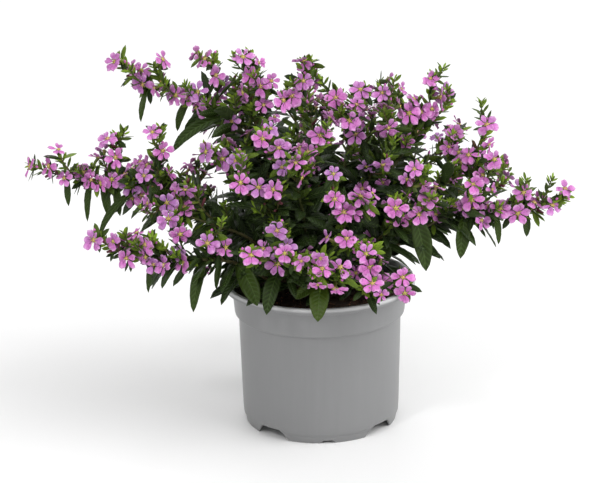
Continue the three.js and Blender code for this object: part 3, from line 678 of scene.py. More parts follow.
# %% The ten inner stems
INNER = 14
STEMS += [
    dict(ring=INNER, bearing=178, flowers=6,
         route=[(-26, 9, 150), (-50, 14, 200), (-80, 20, 221), (-112, 28, 229), (-134, 30, 249)],
         sides=[(0.62, (-69, 26, 251), 3)],
         leaves=[(0.6, (-96, 2, 190), 9), (0.66, (-85, 17, 196), 9), (0.72, (-94, 20, 199), 7)]),
    dict(ring=INNER, bearing=150, flowers=3,
         route=[(-22, 16, 150), (-40, 14, 204), (-45, 14, 224), (-44, 16, 254)],
         sides=[(0.7, (-32, 6, 236), 2), (0.68, (-56, 26, 234), 2)]),
    dict(ring=INNER, bearing=-112, flowers=3,
         route=[(-10, -26, 150), (-13, -40, 186), (7, -43, 211)],
         sides=[(0.68, (-36, -46, 216), 3), (0.66, (-10, -58, 202), 2)]),
    dict(ring=0, bearing=0, flowers=3,
         route=[(-6, 6, 150), (-14, 6, 206), (-12, 6, 230), (-3, 6, 251)],
         sides=[(0.72, (-24, 2, 228), 1)]),
    dict(ring=INNER, bearing=42, flowers=3,
         route=[(14, 13, 150), (23, 14, 196), (30, 15, 214), (33, 16, 230)],
         sides=[(0.72, (14, 15, 226), 2), (0.7, (24, -4, 216), 2)]),
    dict(ring=INNER, bearing=-30, flowers=3,
         route=[(24, -6, 150), (42, -8, 186), (51, -6, 204), (43, 0, 232)],
         sides=[(0.6, (46, -22, 190), 2)]),
    dict(ring=INNER, bearing=10, flowers=3,
         route=[(36, 12, 148), (58, 17, 182), (73, 17, 204), (78, 20, 236)],
         sides=[(0.72, (60, 12, 216), 2), (0.72, (90, 24, 218), 1)]),
    dict(ring=INNER, bearing=70, flowers=2,
         route=[(24, 42, 160), (38, 58, 194), (48, 66, 212)],
         sides=[(0.66, (24, 62, 212), 1)]),
    dict(ring=INNER, bearing=97, flowers=2,
         route=[(0, 38, 160), (-4, 54, 202), (-6, 62, 224)],
         sides=[(0.66, (10, 70, 210), 1)]),
    dict(ring=INNER, bearing=124, flowers=2,
         route=[(-24, 42, 162), (-38, 58, 200), (-46, 66, 220)],
         sides=[(0.66, (-58, 52, 212), 1)]),
]
print("Stems:", len(STEMS))

# %% [markdown]
# The rules below are those of the plain solids, so a leaf or a flower can be laid exactly on the
# plain one that it stands for. Where a neighbour was in the way, the plain solid took the next
# of several turns and sizes. Its tip is then a corner of the solid, so the way that was taken is
# the one whose tip is found there.

# %% The same seeded draws
MULTIPLIER, MODULUS = 16807, 2147483647
FIRST_SEED, SEED_STEP = 7001, 311


def draws(seed):
    """Endless numbers from 0 to 1, the same ones as the plain solids were drawn with."""
    state = seed
    while True:
        state = state * MULTIPLIER % MODULUS
        yield state / MODULUS


trial = draws(FIRST_SEED)
print("The first stem's first draws:", [round(next(trial), 3) for _ in range(4)])

# %% Directions, and a smooth curve through points
UP = np.array([0.0, 0.0, 1.0])


def unit(vector):
    return vector / np.linalg.norm(vector)


def square(direction, wish):
    """The part of a wish that is square to a direction."""
    return unit(wish - direction * np.dot(wish, direction))


def spun(vector, axis, degrees):
    """A vector turned about an axis."""
    angle = math.radians(degrees)
    swept = vector * math.cos(angle) + np.cross(axis, vector) * math.sin(angle)
    return swept + axis * np.dot(axis, vector) * (1 - math.cos(angle))


def curve_through(points, lengths):
    """Points along a smooth curve through the given ones."""
    points = np.array(points, float)
    before, after = 2 * points[0] - points[1], 2 * points[-1] - points[-2]
    padded = np.concatenate([[before], points, [after]])
    places = []
    for step in range(lengths + 1):
        at = (len(points) - 1) * step / lengths
        span = min(int(at), len(points) - 2)
        t = at - span
        a, b, c, d = padded[span:span + 4]
        first, last = (c - a) / 2, (d - b) / 2
        places.append(b + first * t + (3 * (c - b) - 2 * first - last) * t ** 2
                      + (2 * (b - c) + first + last) * t ** 3)
    return np.array(places)


print("x, turned a quarter about z:", spun(np.array([1.0, 0.0, 0.0]), UP, 90).round(3))

# %% Stems as short straight lengths along a curve
class Stem:
    """A stem in short straight lengths, with a smooth line through the same points."""

    def __init__(self, points, lengths, foot_radius, tip_radius):
        self.knots = curve_through(points, lengths)
        self.smooth = curve_through(points, lengths * 4)
        steps = np.linalg.norm(np.diff(self.knots, axis=0), axis=1)
        self.marks = np.concatenate([[0], np.cumsum(steps)])
        self.length = self.marks[-1]
        self.foot_radius, self.tip_radius = foot_radius, tip_radius

    def at(self, distance):
        """Point, direction and radius at a distance from the foot."""
        i = 1
        while i < len(self.marks) - 1 and self.marks[i] < distance:
            i += 1
        share = (distance - self.marks[i - 1]) / (self.marks[i] - self.marks[i - 1])
        point = self.knots[i - 1] + (self.knots[i] - self.knots[i - 1]) * share
        radius = self.foot_radius + (self.tip_radius - self.foot_radius) * distance / self.length
        return point, unit(self.knots[i] - self.knots[i - 1]), radius


print("A straight stem of 10 mm measures", Stem([(0, 0, 0), (0, 0, 10)], 2, 1, 1).length, "mm")

# %% A leaf, as it lies in space
FOLD, SIDE_LEAN = 0.16, 0.35
FULL_RELIEF_FROM = 26
FRONT_DEPTH, FRONT_BLEND = 62, 45


def outlook(point):
    """Where flowers look: the near half of the plant to its front, the far half outwards."""
    front = min(1, max(0, (FRONT_DEPTH - point[1]) / FRONT_BLEND))
    outward = unit(np.array([point[0], point[1], 0]) + 1e-9)
    forward = unit(np.array([point[0] * 0.003, -1, 0]))
    return unit(outward * (1 - front) + forward * front + UP * 0.35)


class Leaf:
    """A midrib on a bent curve, and the directions across it."""

    def __init__(self, root, bend, tip, width, facing, stem_side):
        self.root, self.bend, self.tip, self.width = root, bend, tip, width
        self.facing, self.stem_side = facing, stem_side
        self.fold = FOLD
        self.length = np.linalg.norm(bend - root) + np.linalg.norm(tip - bend)

    def laid(self, shape, wave=0.0, phase=0.0):
        """The points of a unit blade, bent and folded along this leaf."""
        u, v, raised = shape.points.T
        t = u[:, None]
        rib = (self.bend - self.root) * (1 - t) + (self.tip - self.bend) * t
        rib /= np.linalg.norm(rib, axis=1)[:, None]
        centre = (self.root * (1 - t) ** 2 + 2 * self.bend * t * (1 - t) + self.tip * t ** 2)
        side = np.cross(self.facing, rib)
        lean = np.where(side @ self.stem_side < 0, -SIDE_LEAN, SIDE_LEAN)[:, None]
        side = side + self.stem_side * lean
        side -= rib * np.sum(side * rib, axis=1)[:, None]
        side /= np.linalg.norm(side, axis=1)[:, None]
        upper = np.cross(rib, side)
        upper *= np.where(upper @ self.facing < 0, -1, 1)[:, None]
        half = self.width / 2
        rise = self.fold * np.abs(v) * half + raised * min(1, self.length / FULL_RELIEF_FROM)
        rise = rise + wave * half * np.abs(v) * np.sin(9 * u + phase + 2 * np.sign(v))
        flip = np.where(np.sum(np.cross(rib, side) * self.facing, axis=1) < 0, -1, 1)
        return centre + side * (v * half * flip)[:, None] + upper * rise[:, None]


print("A leaf shows its whole relief from", FULL_RELIEF_FROM, "mm of length")

# %% Leaves that spring from a stem or hang to a known tip
LEAF_PROPORTION = 0.3


def leaf_at(stem, distance, turn, length, droop):
    """A leaf that springs from a stem, turned round it, and bends down by its droop."""
    point, direction, radius = stem.at(distance)
    level = square(direction, np.array([-direction[1], direction[0], 0.02]))
    out = spun(level, direction, turn)
    way = unit(out * 0.8 + direction * 0.6)
    bend = point + way * length / 2
    fall = unit(way - UP * droop)
    facing = unit(UP * 0.8 + direction * 0.5)
    root = point - way * radius * 0.2
    tip = bend + fall * length / 2
    return Leaf(root, bend, tip, length * LEAF_PROPORTION, facing, np.cross(direction, out))


def hanging_leaf(stem, share, tip, width):
    """A large leaf that hangs to a known tip."""
    point, direction, _ = stem.at(stem.length * share)
    tip = np.array(tip, float)
    flat = (tip - point) * (1, 1, 0)
    bend = point + (tip - point) * 0.4 + UP * 0.1 * np.linalg.norm(tip - point) + flat * 0.35
    facing = outlook(point)
    return Leaf(point, bend, tip, width, facing, np.cross(direction, facing))


print("A leaf is", LEAF_PROPORTION, "times as wide as it is long")

# %% A flower, as it lies in space
class Flower:
    """A flower's middle, and the directions across, up and out of its face."""

    def __init__(self, root, centre, facing):
        self.root, self.centre, self.facing = root, centre, facing
        self.across = unit(np.cross(UP, facing))
        self.top = np.cross(facing, self.across)
        self.tip = centre - facing * 0.3

    def laid(self, points):
        return self.centre + points @ np.array([self.across, self.top, self.facing])


def flower_at(stem, distance, turn, tube, tilt):
    """A flower on a tube that springs from a stem."""
    point, direction, _ = stem.at(distance)
    view = outlook(point)
    out = spun(square(direction, view + UP * 0.5), direction, turn)
    way = unit(out * 0.75 + view * 0.45 + direction * 0.25)
    return Flower(point, point + way * tube, unit(way * 0.35 + view * 0.9 + tilt))


print("Flowers look to the front up to y =", FRONT_DEPTH - FRONT_BLEND, "mm")

# %% Find each leaf and flower on the plain solids
LEAF_RULES = {
    "main": dict(first=22, step=25, last=0.68, longest=48, shortest=20, droop=1, missing=0.14),
    "small": dict(first=20, step=15, last=0.7, longest=22, shortest=14, droop=0.2, missing=0.2),
    "side": dict(first=9, step=14, last=0.45, longest=24, shortest=14, droop=0.4, missing=0.7),
}
DODGES = (0, 30, -30, 60, -60)
LEAF_SIZES, TUBE_LENGTHS = (1, 0.78, 0.6), (8, 12)
FLOWER_STEP, FLOWER_INSET, FLOWER_SWING = 12, 5, 35
FOUND_WITHIN = 0.06


def corners_of(node):
    """A plain solid's corners, ready to be searched."""
    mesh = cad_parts[node].data
    tree = KDTree(len(mesh.vertices))
    for vertex in mesh.vertices:
        tree.insert(vertex.co / MM, vertex.index)
    tree.balance()
    return tree


def found(tree, ways):
    """The first of several ways whose tip is a corner of the plain solid."""
    for way in ways:
        if tree.find(Vector(way.tip))[2] < FOUND_WITHIN:
            return way
    return None


def dressed(tree, stem, flowers, rule, random):
    """The leaves and flowers of one stem, by the rules."""
    leaves, blooms = [], []
    turn = 360 * next(random)
    distance = rule["first"]
    while distance < stem.length * rule["last"]:
        share = distance / stem.length
        length = rule["longest"] + (rule["shortest"] - rule["longest"]) * share
        for opposite in (0, 180):
            size = length * (0.85 + 0.3 * next(random))
            if next(random) < rule["missing"]:
                continue
            droop = rule["droop"] * (1.2 - share)
            leaves.append(found(tree, (
                leaf_at(stem, distance, turn + opposite + dodge, size * shorter, droop)
                for shorter in LEAF_SIZES for dodge in DODGES)))
        turn += 90 + 20 * (next(random) - 0.5)
        distance += rule["step"]
    for k in range(flowers):
        distance = stem.length - FLOWER_INSET - FLOWER_STEP * k
        swing = (FLOWER_SWING if k % 2 else -FLOWER_SWING) + 20 * (next(random) - 0.5)
        tilt = np.array([next(random) - 0.5 for _ in range(3)]) * 0.5
        if distance > FLOWER_INSET:
            blooms.append(found(tree, (
                flower_at(stem, distance, swing + 1.3 * dodge, tube, tilt)
                for tube in TUBE_LENGTHS for dodge in DODGES)))
    return [leaf for leaf in leaves if leaf], [bloom for bloom in blooms if bloom]


print("Ways to try for each leaf:", len(LEAF_SIZES) * len(DODGES))

# %% Grow the thirty stems
STEM_ENDS, TWIG_ENDS = (1.9, 0.8), (1.0, 0.6)
BEHIND = 30
CROWDED_FROM = 5
STEM_START = SOIL_TOP + 2
plants = []
for index, plan in enumerate(STEMS):
    node = shoots[index]
    tree = corners_of(node)
    random = draws(FIRST_SEED + SEED_STEP * index)
    angle = math.radians(plan["bearing"])
    foot = (plan["ring"] * math.cos(angle), plan["ring"] * math.sin(angle))
    route = [(*foot, STEM_START), *plan["route"]]
    main = Stem(route, 2 * len(plan["route"]), *STEM_ENDS)
    twigs = []
    for share, tip, flowers in plan["sides"]:
        start, end = main.at(main.length * share)[0], np.array(tip, float)
        middle = (start + end) / 2 - UP * 0.08 * np.linalg.norm(end - start)
        twigs.append((Stem([start, middle, end], 3, *TWIG_ENDS), flowers))
    hanging = [found(tree, [hanging_leaf(main, *leaf)]) for leaf in plan.get("leaves", ())]
    hanging = [leaf for leaf in hanging if leaf]
    rule = LEAF_RULES["small" if plan.get("small") else "main"]
    leaves, blooms = dressed(tree, main, plan["flowers"], rule, random)
    stems = [dict(stem=main, leaves=leaves, blooms=blooms, side=False)]
    for twig, flowers in twigs:
        leaves, blooms = dressed(tree, twig, flowers, LEAF_RULES["side"], random)
        stems.append(dict(stem=twig, leaves=leaves, blooms=blooms, side=True))
    plants.append(dict(
        node=node, foot=foot, low=bool(plan.get("small")), behind=route[-1][1] > BEHIND,
        crowded=plan["flowers"] >= CROWDED_FROM, stems=stems, hanging=hanging))
blade_count = sum(len(s["leaves"]) for p in plants for s in p["stems"])
blade_count += sum(len(p["hanging"]) for p in plants)
bloom_count = sum(len(s["blooms"]) for p in plants for s in p["stems"])
print(f"Found on the plain solids: {blade_count} leaves, {bloom_count} flowers")

# %% [markdown]
# ## One leaf, modelled once
#
# A cigar plant's leaf is lance-shaped, a little glossy, folded up along a sunken midrib and
# quilted between its side veins. It starts as a grid one millimetre long. Column by column it
# is drawn in to the blade's width, the ends are merged to points, the midrib is pushed down and
# the stretches between veins up, and a Solidify modifier gives it a wall. Each point of the
# underside is then set straight below its twin, so the two sides can't cross when the blade is
# bent. Three finenesses serve the large leaves, the middle ones and the hundreds of small ones.

# %% Leaf blades, one millimetre long and one to each side
def blade_width(share):
    """The width of a blade at a share of its length: widest past its middle, with a round tip."""
    return math.sin(math.pi * share ** 1.06) ** 0.64 if 0 < share < 1 else 0.0


BLADE_WALL = 0.3
MIDRIB_DEPTH, QUILT_HEIGHT = 0.22, 0.28


def walled(sheet, wall):
    """Reads a thin sheet as a shape, with a second sheet under it that will bend as it does."""
    top = len(sheet.data.vertices)
    applied(sheet, "SOLIDIFY", thickness=wall * MM, offset=-1)
    shape = Shape(sheet)
    shape.under[top:] = 1
    shape.points[top:] = shape.points[:top] - (0, 0, wall)
    return shape


def blade(along, across, quilted):
    """A blade from x = 0 to 1, with so many faces along it and across it."""
    deselect()
    bpy.ops.mesh.primitive_grid_add(
        x_subdivisions=along, y_subdivisions=across, size=MM, location=(MM / 2, 0, 0))
    leaf = bpy.context.object
    bpy.ops.object.transform_apply()
    bpy.ops.object.mode_set(mode="EDIT")
    near = 0.1 * MM / along
    for k in range(along + 1):
        x = k / along * MM
        choose(leaf, lambda place: abs(place.x - x) < near)
        width = 2 * blade_width(k / along)
        bpy.ops.transform.resize(value=(1, width, 1), center_override=(x, 0, 0))
        if quilted and k % 2 and 0 < k < along:
            choose(leaf, lambda place: abs(place.x - x) < near and abs(place.y) > 0.1 * MM)
            bpy.ops.transform.translate(value=(0, 0, QUILT_HEIGHT * MM))
    choose(leaf, lambda place: abs(place.y) < 0.01 * MM and 0 < place.x < 0.96 * MM)
    bpy.ops.transform.translate(value=(0, 0, -MIDRIB_DEPTH * MM))
    bpy.ops.mesh.select_all(action="SELECT")
    bpy.ops.mesh.remove_doubles(threshold=0.002 * MM)
    bpy.ops.object.mode_set(mode="OBJECT")
    shape = walled(leaf, BLADE_WALL)
    shape.spread = shape.points[:, :2] * (1, 0.5) + (0, 0.5)
    return shape


broad_blade = blade(12, 6, quilted=True)
middle_blade = blade(6, 2, quilted=False)
small_blade = blade(5, 2, quilted=False)
for name, shape in (("broad", broad_blade), ("middle", middle_blade), ("small", small_blade)):
    print(name, "blade:", len(shape.counts), "faces")

# %% [markdown]
# ## One petal, one star, one tube, one bud
#
# A petal is a rounded spoon on a narrow claw. It starts as a disc that is stretched, narrowed
# towards its claw and dished by an inset face that is pushed in. It gets its wall as a leaf
# does. The star in the flower's middle is a flat cone whose every second corner is drawn in.
# Tubes, buds and stems are turned once, one millimetre long, and bent along their line.

# %% Petals
PETAL_CORNERS = 12
PETAL_START = 0.9
PETAL_WALL = 0.16
PETAL_MARGIN, PETAL_DISH = 0.15, 0.2


def petal(length, width):
    """A petal that lies along x, with its claw near the flower's middle."""
    deselect()
    bpy.ops.mesh.primitive_circle_add(
        vertices=PETAL_CORNERS, radius=MM, fill_type="NGON",
        rotation=(0, 0, math.pi / PETAL_CORNERS))
    body = bpy.context.object
    bpy.ops.object.transform_apply()
    bpy.ops.object.mode_set(mode="EDIT")
    bpy.ops.mesh.select_all(action="SELECT")
    bpy.ops.transform.resize(value=(length / 2, width / 2, 1))
    bpy.ops.transform.translate(value=((length / 2 + PETAL_START) * MM, 0, 0))
    for reach, narrow in ((0.5, 0.7), (0.22, 0.42)):
        choose(body, lambda place: place.x < (PETAL_START + reach * length) * MM)
        bpy.ops.transform.resize(value=(1, narrow, 1), center_override=(0, 0, 0))
    choose(body, lambda place: place.x > (PETAL_START + 0.7 * length) * MM)
    bpy.ops.transform.resize(value=(1, 1.12, 1), center_override=(0, 0, 0))
    bpy.ops.mesh.select_all(action="SELECT")
    bpy.ops.mesh.inset(thickness=width * PETAL_MARGIN * MM)
    bpy.ops.transform.translate(value=(0, 0, -PETAL_DISH * MM))
    bpy.ops.mesh.poke()
    bpy.ops.object.mode_set(mode="OBJECT")
    shape = walled(body, PETAL_WALL)
    shape.spread = shape.points[:, :2] / (length + PETAL_START, width) + (0, 0.5)
    return shape


upper_petal = petal(6.3, 4.6)
lower_petal = petal(7.4, 5.5)
print("Petal:", len(lower_petal.counts), "faces")

# %% Star and eye
def star(corners, radius, rise, drawn_in):
    """A flat cone whose every second corner is drawn in."""
    deselect()
    bpy.ops.mesh.primitive_cone_add(vertices=2 * corners, radius1=radius * MM, depth=rise * MM)
    body = bpy.context.object
    bpy.ops.object.mode_set(mode="EDIT")
    choose(body, lambda place: round(
        math.degrees(math.atan2(place.y, place.x)) * corners / 180) % 2 == 1)
    bpy.ops.transform.resize(value=(drawn_in, drawn_in, 1), center_override=(0, 0, 0))
    bpy.ops.object.mode_set(mode="OBJECT")
    return Shape(body)


flower_star = star(6, 3.3, 0.9, 0.3)
flower_eye = star(3, 0.9, 1.6, 0.6)
# The star's rays stand between the petals.
flower_star.points = flower_star.points @ np.array(Matrix.Rotation(math.radians(30), 3, "Z")).T
print("Star and eye:", len(flower_star.counts), "and", len(flower_eye.counts), "faces")

# %% Tubes and bud
def turned_shape(profile, sides):
    """A tube one millimetre long, whose map runs along it."""
    shape = Shape(turned(profile, sides))
    shape.spread = shape.points[:, [2, 0]]
    return shape


stem_tube = turned_shape([(1, k / 24) for k in range(25)], 7)
twig_tube = turned_shape([(1, k / 8) for k in range(9)], 5)
calyx_tube = turned_shape(
    [(0.4, 0), (0.85, 0.1), (0.95, 0.3), (0.7, 0.62), (0.9, 0.85), (1.3, 1)], 8)
bud_tube = turned_shape([(0.3, 0), (0.8, 0.12), (0.9, 0.4), (0.75, 0.66), (0.5, 0.72)], 6)
bud_tip = turned_shape([(0.5, 0.64), (0.72, 0.72), (0.7, 0.86), (0.15, 1)], 6)
bud_tip.spread = bud_tip.spread * (0.3, 0) + (0, 0.5)
print("Stem tube:", len(stem_tube.counts), "faces")

# %% Bend a tube along a line
def bent(shape, line, radii):
    """The points of a unit tube, bent along a line with a radius at each end of it."""
    line = np.asarray(line, float)
    steps = np.linalg.norm(np.diff(line, axis=0), axis=1)
    marks = np.concatenate([[0], np.cumsum(steps)])
    t = shape.points[:, 2]
    reach = t * marks[-1]
    centre = np.stack([np.interp(reach, marks, line[:, k]) for k in range(3)], axis=1)
    ways = np.gradient(line, axis=0)
    way = np.stack([np.interp(reach, marks, ways[:, k]) for k in range(3)], axis=1)
    way /= np.linalg.norm(way, axis=1)[:, None]
    across = np.cross(way, (0.31, 0.9, 0.12))
    across /= np.linalg.norm(across, axis=1)[:, None]
    other = np.cross(way, across)
    radius = (radii[0] + (radii[1] - radii[0]) * t)[:, None]
    return centre + (across * shape.points[:, :1] + other * shape.points[:, 1:2]) * radius


print("A bent stem tube keeps its", len(stem_tube.points), "points")

# %% [markdown]
# ## Greenery
#
# For each stem the bed takes the stem and its sprays, every leaf found on the plain solid, and
# then what that solid leaves out. First come the rules for those added leaves: they keep clear
# of the pot, only tiny ones hide the bare soil that an onlooker sees, and all roll a little
# towards the light. Leaves deep inside the bush get a darker tone: painted shade.

# %% Where a leaf may lie
RIM, RIM_ROOM = 65.0, 2
LIP_INSIDE = 52
OVER_SOIL, OVER_LIP = 94.5, 103
# What an onlooker sees of the soil and of the lip: from x to x, in front of y, under z.
SOIL_LEFT, SOIL_RIGHT, SOIL_BACK, SOIL_COVER = -38, 68, 8, 121
LIP_RADIUS, LIP_BACK, LIP_COVER, LIP_RIGHT, LIP_COVER_RIGHT = 50, 30, 112, 44, 120


def clears_the_pot(leaf):
    """False for a leaf that would pass through the rim or the soil."""
    for x, y, z in ((leaf.bend + leaf.tip) / 2, leaf.tip):
        radius = math.hypot(x, y)
        lowest = OVER_LIP if radius > LIP_INSIDE else OVER_SOIL
        if radius < RIM + RIM_ROOM and z < lowest:
            return False
    return True


def over_bare_soil(leaf):
    """True where the soil and the front of the lip lie open to the onlooker."""
    for x, y, z in (leaf.tip, (leaf.bend + leaf.tip) / 2):
        between = SOIL_LEFT < x < SOIL_RIGHT and x * 0.5 - y > 14
        if between and y < SOIL_BACK and z < SOIL_COVER:
            return True
        cover = LIP_COVER_RIGHT if x > LIP_RIGHT else LIP_COVER
        if math.hypot(x, y) > LIP_RADIUS and y < LIP_BACK and z < cover:
            return True
    return False


def within_box(point):
    """True where a part may stand without making the plant larger than the plain one."""
    low, high = cad_box
    return all(low[k] / MM < point[k] < high[k] / MM for k in range(3))


print("The plant may reach, in mm:", [round(high / MM) for high in cad_box[1]])

# %% How a leaf faces, and how dark it is
LEAF_SLOT, STEM_SLOT, TUBE_SLOT = 0, 1, 2
MIDDLE_LEAF, LARGE_LEAF = 15, 27
BUSH_HALF_WIDTH, BUSH_HALF_DEPTH, BUSH_HEIGHT, BUSH_FOOT = 150, 95, 135, 105
DARK_CORE, BRIGHT_DEPTH = 0.25, 0.7


def openness(point):
    """0 deep inside the bush, 1 at its outer skin."""
    x, y, z = point
    reach = math.hypot(x / BUSH_HALF_WIDTH, y / BUSH_HALF_DEPTH, (z - BUSH_FOOT) / BUSH_HEIGHT)
    return min(1.0, max(0.0, (reach - DARK_CORE) / BRIGHT_DEPTH))


def turned_to_light(leaf, dice):
    """Rolls a leaf on its midrib, partly towards the light in front."""
    leaf.facing = unit(
        leaf.facing * 0.6 + outlook(leaf.root) * 0.7 + dice.normal(size=3) * 0.45)
    return leaf


def lay_leaf(bed, leaf, dice, youth=0.0, seen_large=False):
    """One leaf, as fine and as wavy as its size asks, and as dark as its place."""
    middle = leaf.length > MIDDLE_LEAF
    shape = broad_blade if seen_large else middle_blade if middle else small_blade
    # Painted shade: the deeper in the bush, the lower the tone; a little random tone on top.
    tone = 0.6 * openness(leaf.tip) ** 1.8 + 0.22 * dice.random() ** 2
    points = leaf.laid(shape, 0.1 if middle else 0.0, FULL_TURN * dice.random())
    bed.lay(shape, points, tone, youth, LEAF_SLOT)


print("Leaves are laid finer from", MIDDLE_LEAF, "mm on, known ones again from", LARGE_LEAF, "mm")

# %% [markdown]
# What the plain solids leave out is small: short fresh twigs, opposite pairs of leaves every few
# millimetres, broad old leaves deep inside, and a tuft of tiny yellow-green leaves at each tip.
# Leaves get shorter and younger towards a tip, and each pair stands square to the last.

# %% Young twigs
TWIG_STEP, TWIG_SPARE = 3.0, 10
TWIG_LEAF, TWIG_LEAF_LOSS = 9.5, 3.5
YOUNG_ENDS, YOUNG_RADII = (0.65, 0.4), (0.65, 0.35)
LEAF_SWING = 14


def young_twig(bed, stem, distance, swing, shortest, dice):
    """A short fresh twig with small bright leaves. Returns it, or None where it has no room."""
    point, direction, _ = stem.at(distance)
    out = spun(square(direction, outlook(point) + UP), direction, swing * dice.normal())
    length = shortest + TWIG_SPARE * dice.random()
    middle = point + unit(out + direction * 0.7) * length / 2
    tip = middle + unit(out * 0.5 + direction * 0.6 + UP * 0.6) * length / 2
    if not within_box(tip + unit(tip - middle) * 6):
        return None
    twig = Stem([point, middle, tip], 3, *YOUNG_ENDS)
    bed.lay(twig_tube, bent(twig_tube, twig.smooth, YOUNG_RADII), dice.random(), 1.0, STEM_SLOT)
    turn = 360 * dice.random()
    reach = TWIG_STEP
    while reach < twig.length:
        share = reach / twig.length
        for opposite in (0, 180):
            size = (TWIG_LEAF - TWIG_LEAF_LOSS * share) * (0.8 + 0.4 * dice.random())
            bearing = turn + opposite + LEAF_SWING * dice.normal()
            leaf = leaf_at(twig, reach, bearing, size, -0.1)
            if clears_the_pot(turned_to_light(leaf, dice)):
                lay_leaf(bed, leaf, dice, (0.1 + 0.7 * share) * dice.random() ** 0.7)
        turn += 90
        reach += TWIG_STEP
    return twig


print("Pairs on a young twig stand", TWIG_STEP, "mm apart")

# %% Pairs of small leaves
PAIR_LENGTH, LOW_PAIR_LENGTH, SIDE_PAIR_LENGTH, TIP_LENGTH = 21, 13, 12.5, 6.0
PAIR_STEP, PAIR_STEP_MORE = 3.7, 2.2
PAIR_SKIPPED, PAIR_WIDENED, PAIR_SWING = 0.08, 1.2, 16
TINY = 7


def small_pairs(bed, stem, side, low, dice):
    """Opposite pairs of small leaves, shorter and younger towards the tip."""
    count = 0
    turn = 360 * dice.random()
    distance = (0.2 if side else 0.1) * stem.length
    base = SIDE_PAIR_LENGTH if side else LOW_PAIR_LENGTH if low else PAIR_LENGTH
    while distance < stem.length - 1.5:
        share = distance / stem.length
        length = base + (TIP_LENGTH - base) * share ** 0.8
        youth = min(1.0, max(0.0, (share - 0.5) / 0.5)) * dice.random() ** 0.7
        for opposite in (0, 180):
            if dice.random() < PAIR_SKIPPED:
                continue
            size = length * (0.8 + 0.4 * dice.random())
            droop = 0.35 * (1 - 1.6 * share)
            bearing = turn + opposite + LEAF_SWING * dice.normal()
            leaf = leaf_at(stem, distance, bearing, size, droop)
            turned_to_light(leaf, dice).width *= PAIR_WIDENED
            if clears_the_pot(leaf) and not (size > TINY and over_bare_soil(leaf)):
                lay_leaf(bed, leaf, dice, youth)
                count += 1
        turn += 90 + PAIR_SWING * dice.normal()
        distance += PAIR_STEP + PAIR_STEP_MORE * (1 - share)
    return count


print("Pairs on a stem stand from", PAIR_STEP + PAIR_STEP_MORE, "to", PAIR_STEP, "mm apart")

# %% Inner leaves and tufts
INNER_FIRST, INNER_STEP, INNER_LAST = 12.0, 7.5, 0.66
INNER_LENGTH, INNER_LOSS, INNER_WIDENED = 39, 20, 0.88
TUFT, SMALL_TUFT, TUFT_STEP, LONG_STEM = 11, 5, 1.1, 30
TUFT_LEAF, TUFT_LEAF_MORE = 4.6, 0.4
GOLDEN_TURN = 137.5


def inner_leaves(bed, stem, dice):
    """Broad old leaves on the lower two thirds of a stem."""
    count = 0
    turn = 360 * dice.random()
    distance = INNER_FIRST
    while distance < stem.length * INNER_LAST:
        for opposite in (0, 180):
            size = INNER_LENGTH - INNER_LOSS * distance / stem.length
            size *= 0.7 + 0.4 * dice.random()
            leaf = leaf_at(stem, distance, turn + opposite, size, 0.2 + 0.9 * dice.random())
            turned_to_light(leaf, dice).width *= INNER_WIDENED
            if clears_the_pot(leaf) and not over_bare_soil(leaf):
                lay_leaf(bed, leaf, dice)
                count += 1
        turn += 90 + PAIR_SWING * dice.normal()
        distance += INNER_STEP
    return count


def tuft(bed, stem, dice):
    """Tiny young leaves round the end of a stem."""
    for k in range(TUFT if stem.length > LONG_STEM else SMALL_TUFT):
        distance = stem.length - TUFT_STEP * k - 0.3
        size = (TUFT_LEAF + TUFT_LEAF_MORE * k) * (0.85 + 0.3 * dice.random())
        leaf = turned_to_light(leaf_at(stem, distance, GOLDEN_TURN * k, size, -0.3), dice)
        lay_leaf(bed, leaf, dice, 0.6 + 0.4 * dice.random())


print("Inner pairs stand", INNER_STEP, "mm apart, tiny leaves in a tuft", TUFT_STEP, "mm")

# %% [markdown]
# Now each shoot gets its greenery. A few slender hanging leaves are added to the known ones. On
# stems that carry many flowers the young twigs stand closer together, and point less aside.

# %% Lay the greenery of each shoot
# More hanging leaves, by the number of the stem from 0: share of the stem, tip and width.
MORE_HANGING = {
    0: [(0.86, (-166, -14, 158), 6), (0.62, (-146, -24, 138), 6), (0.74, (-140, -12, 150), 8)],
    1: [(0.72, (-112, -60, 112), 5)],
    5: [(0.8, (139, -14, 131), 7)],
    20: [(0.86, (-118, 16, 207), 6)],
}
HANGING_FOLD = 0.36
HANGING_WIDTH, LEAF_WIDTH = 0.84, 0.86
STEM_FOOT = SOIL_TOP - 7
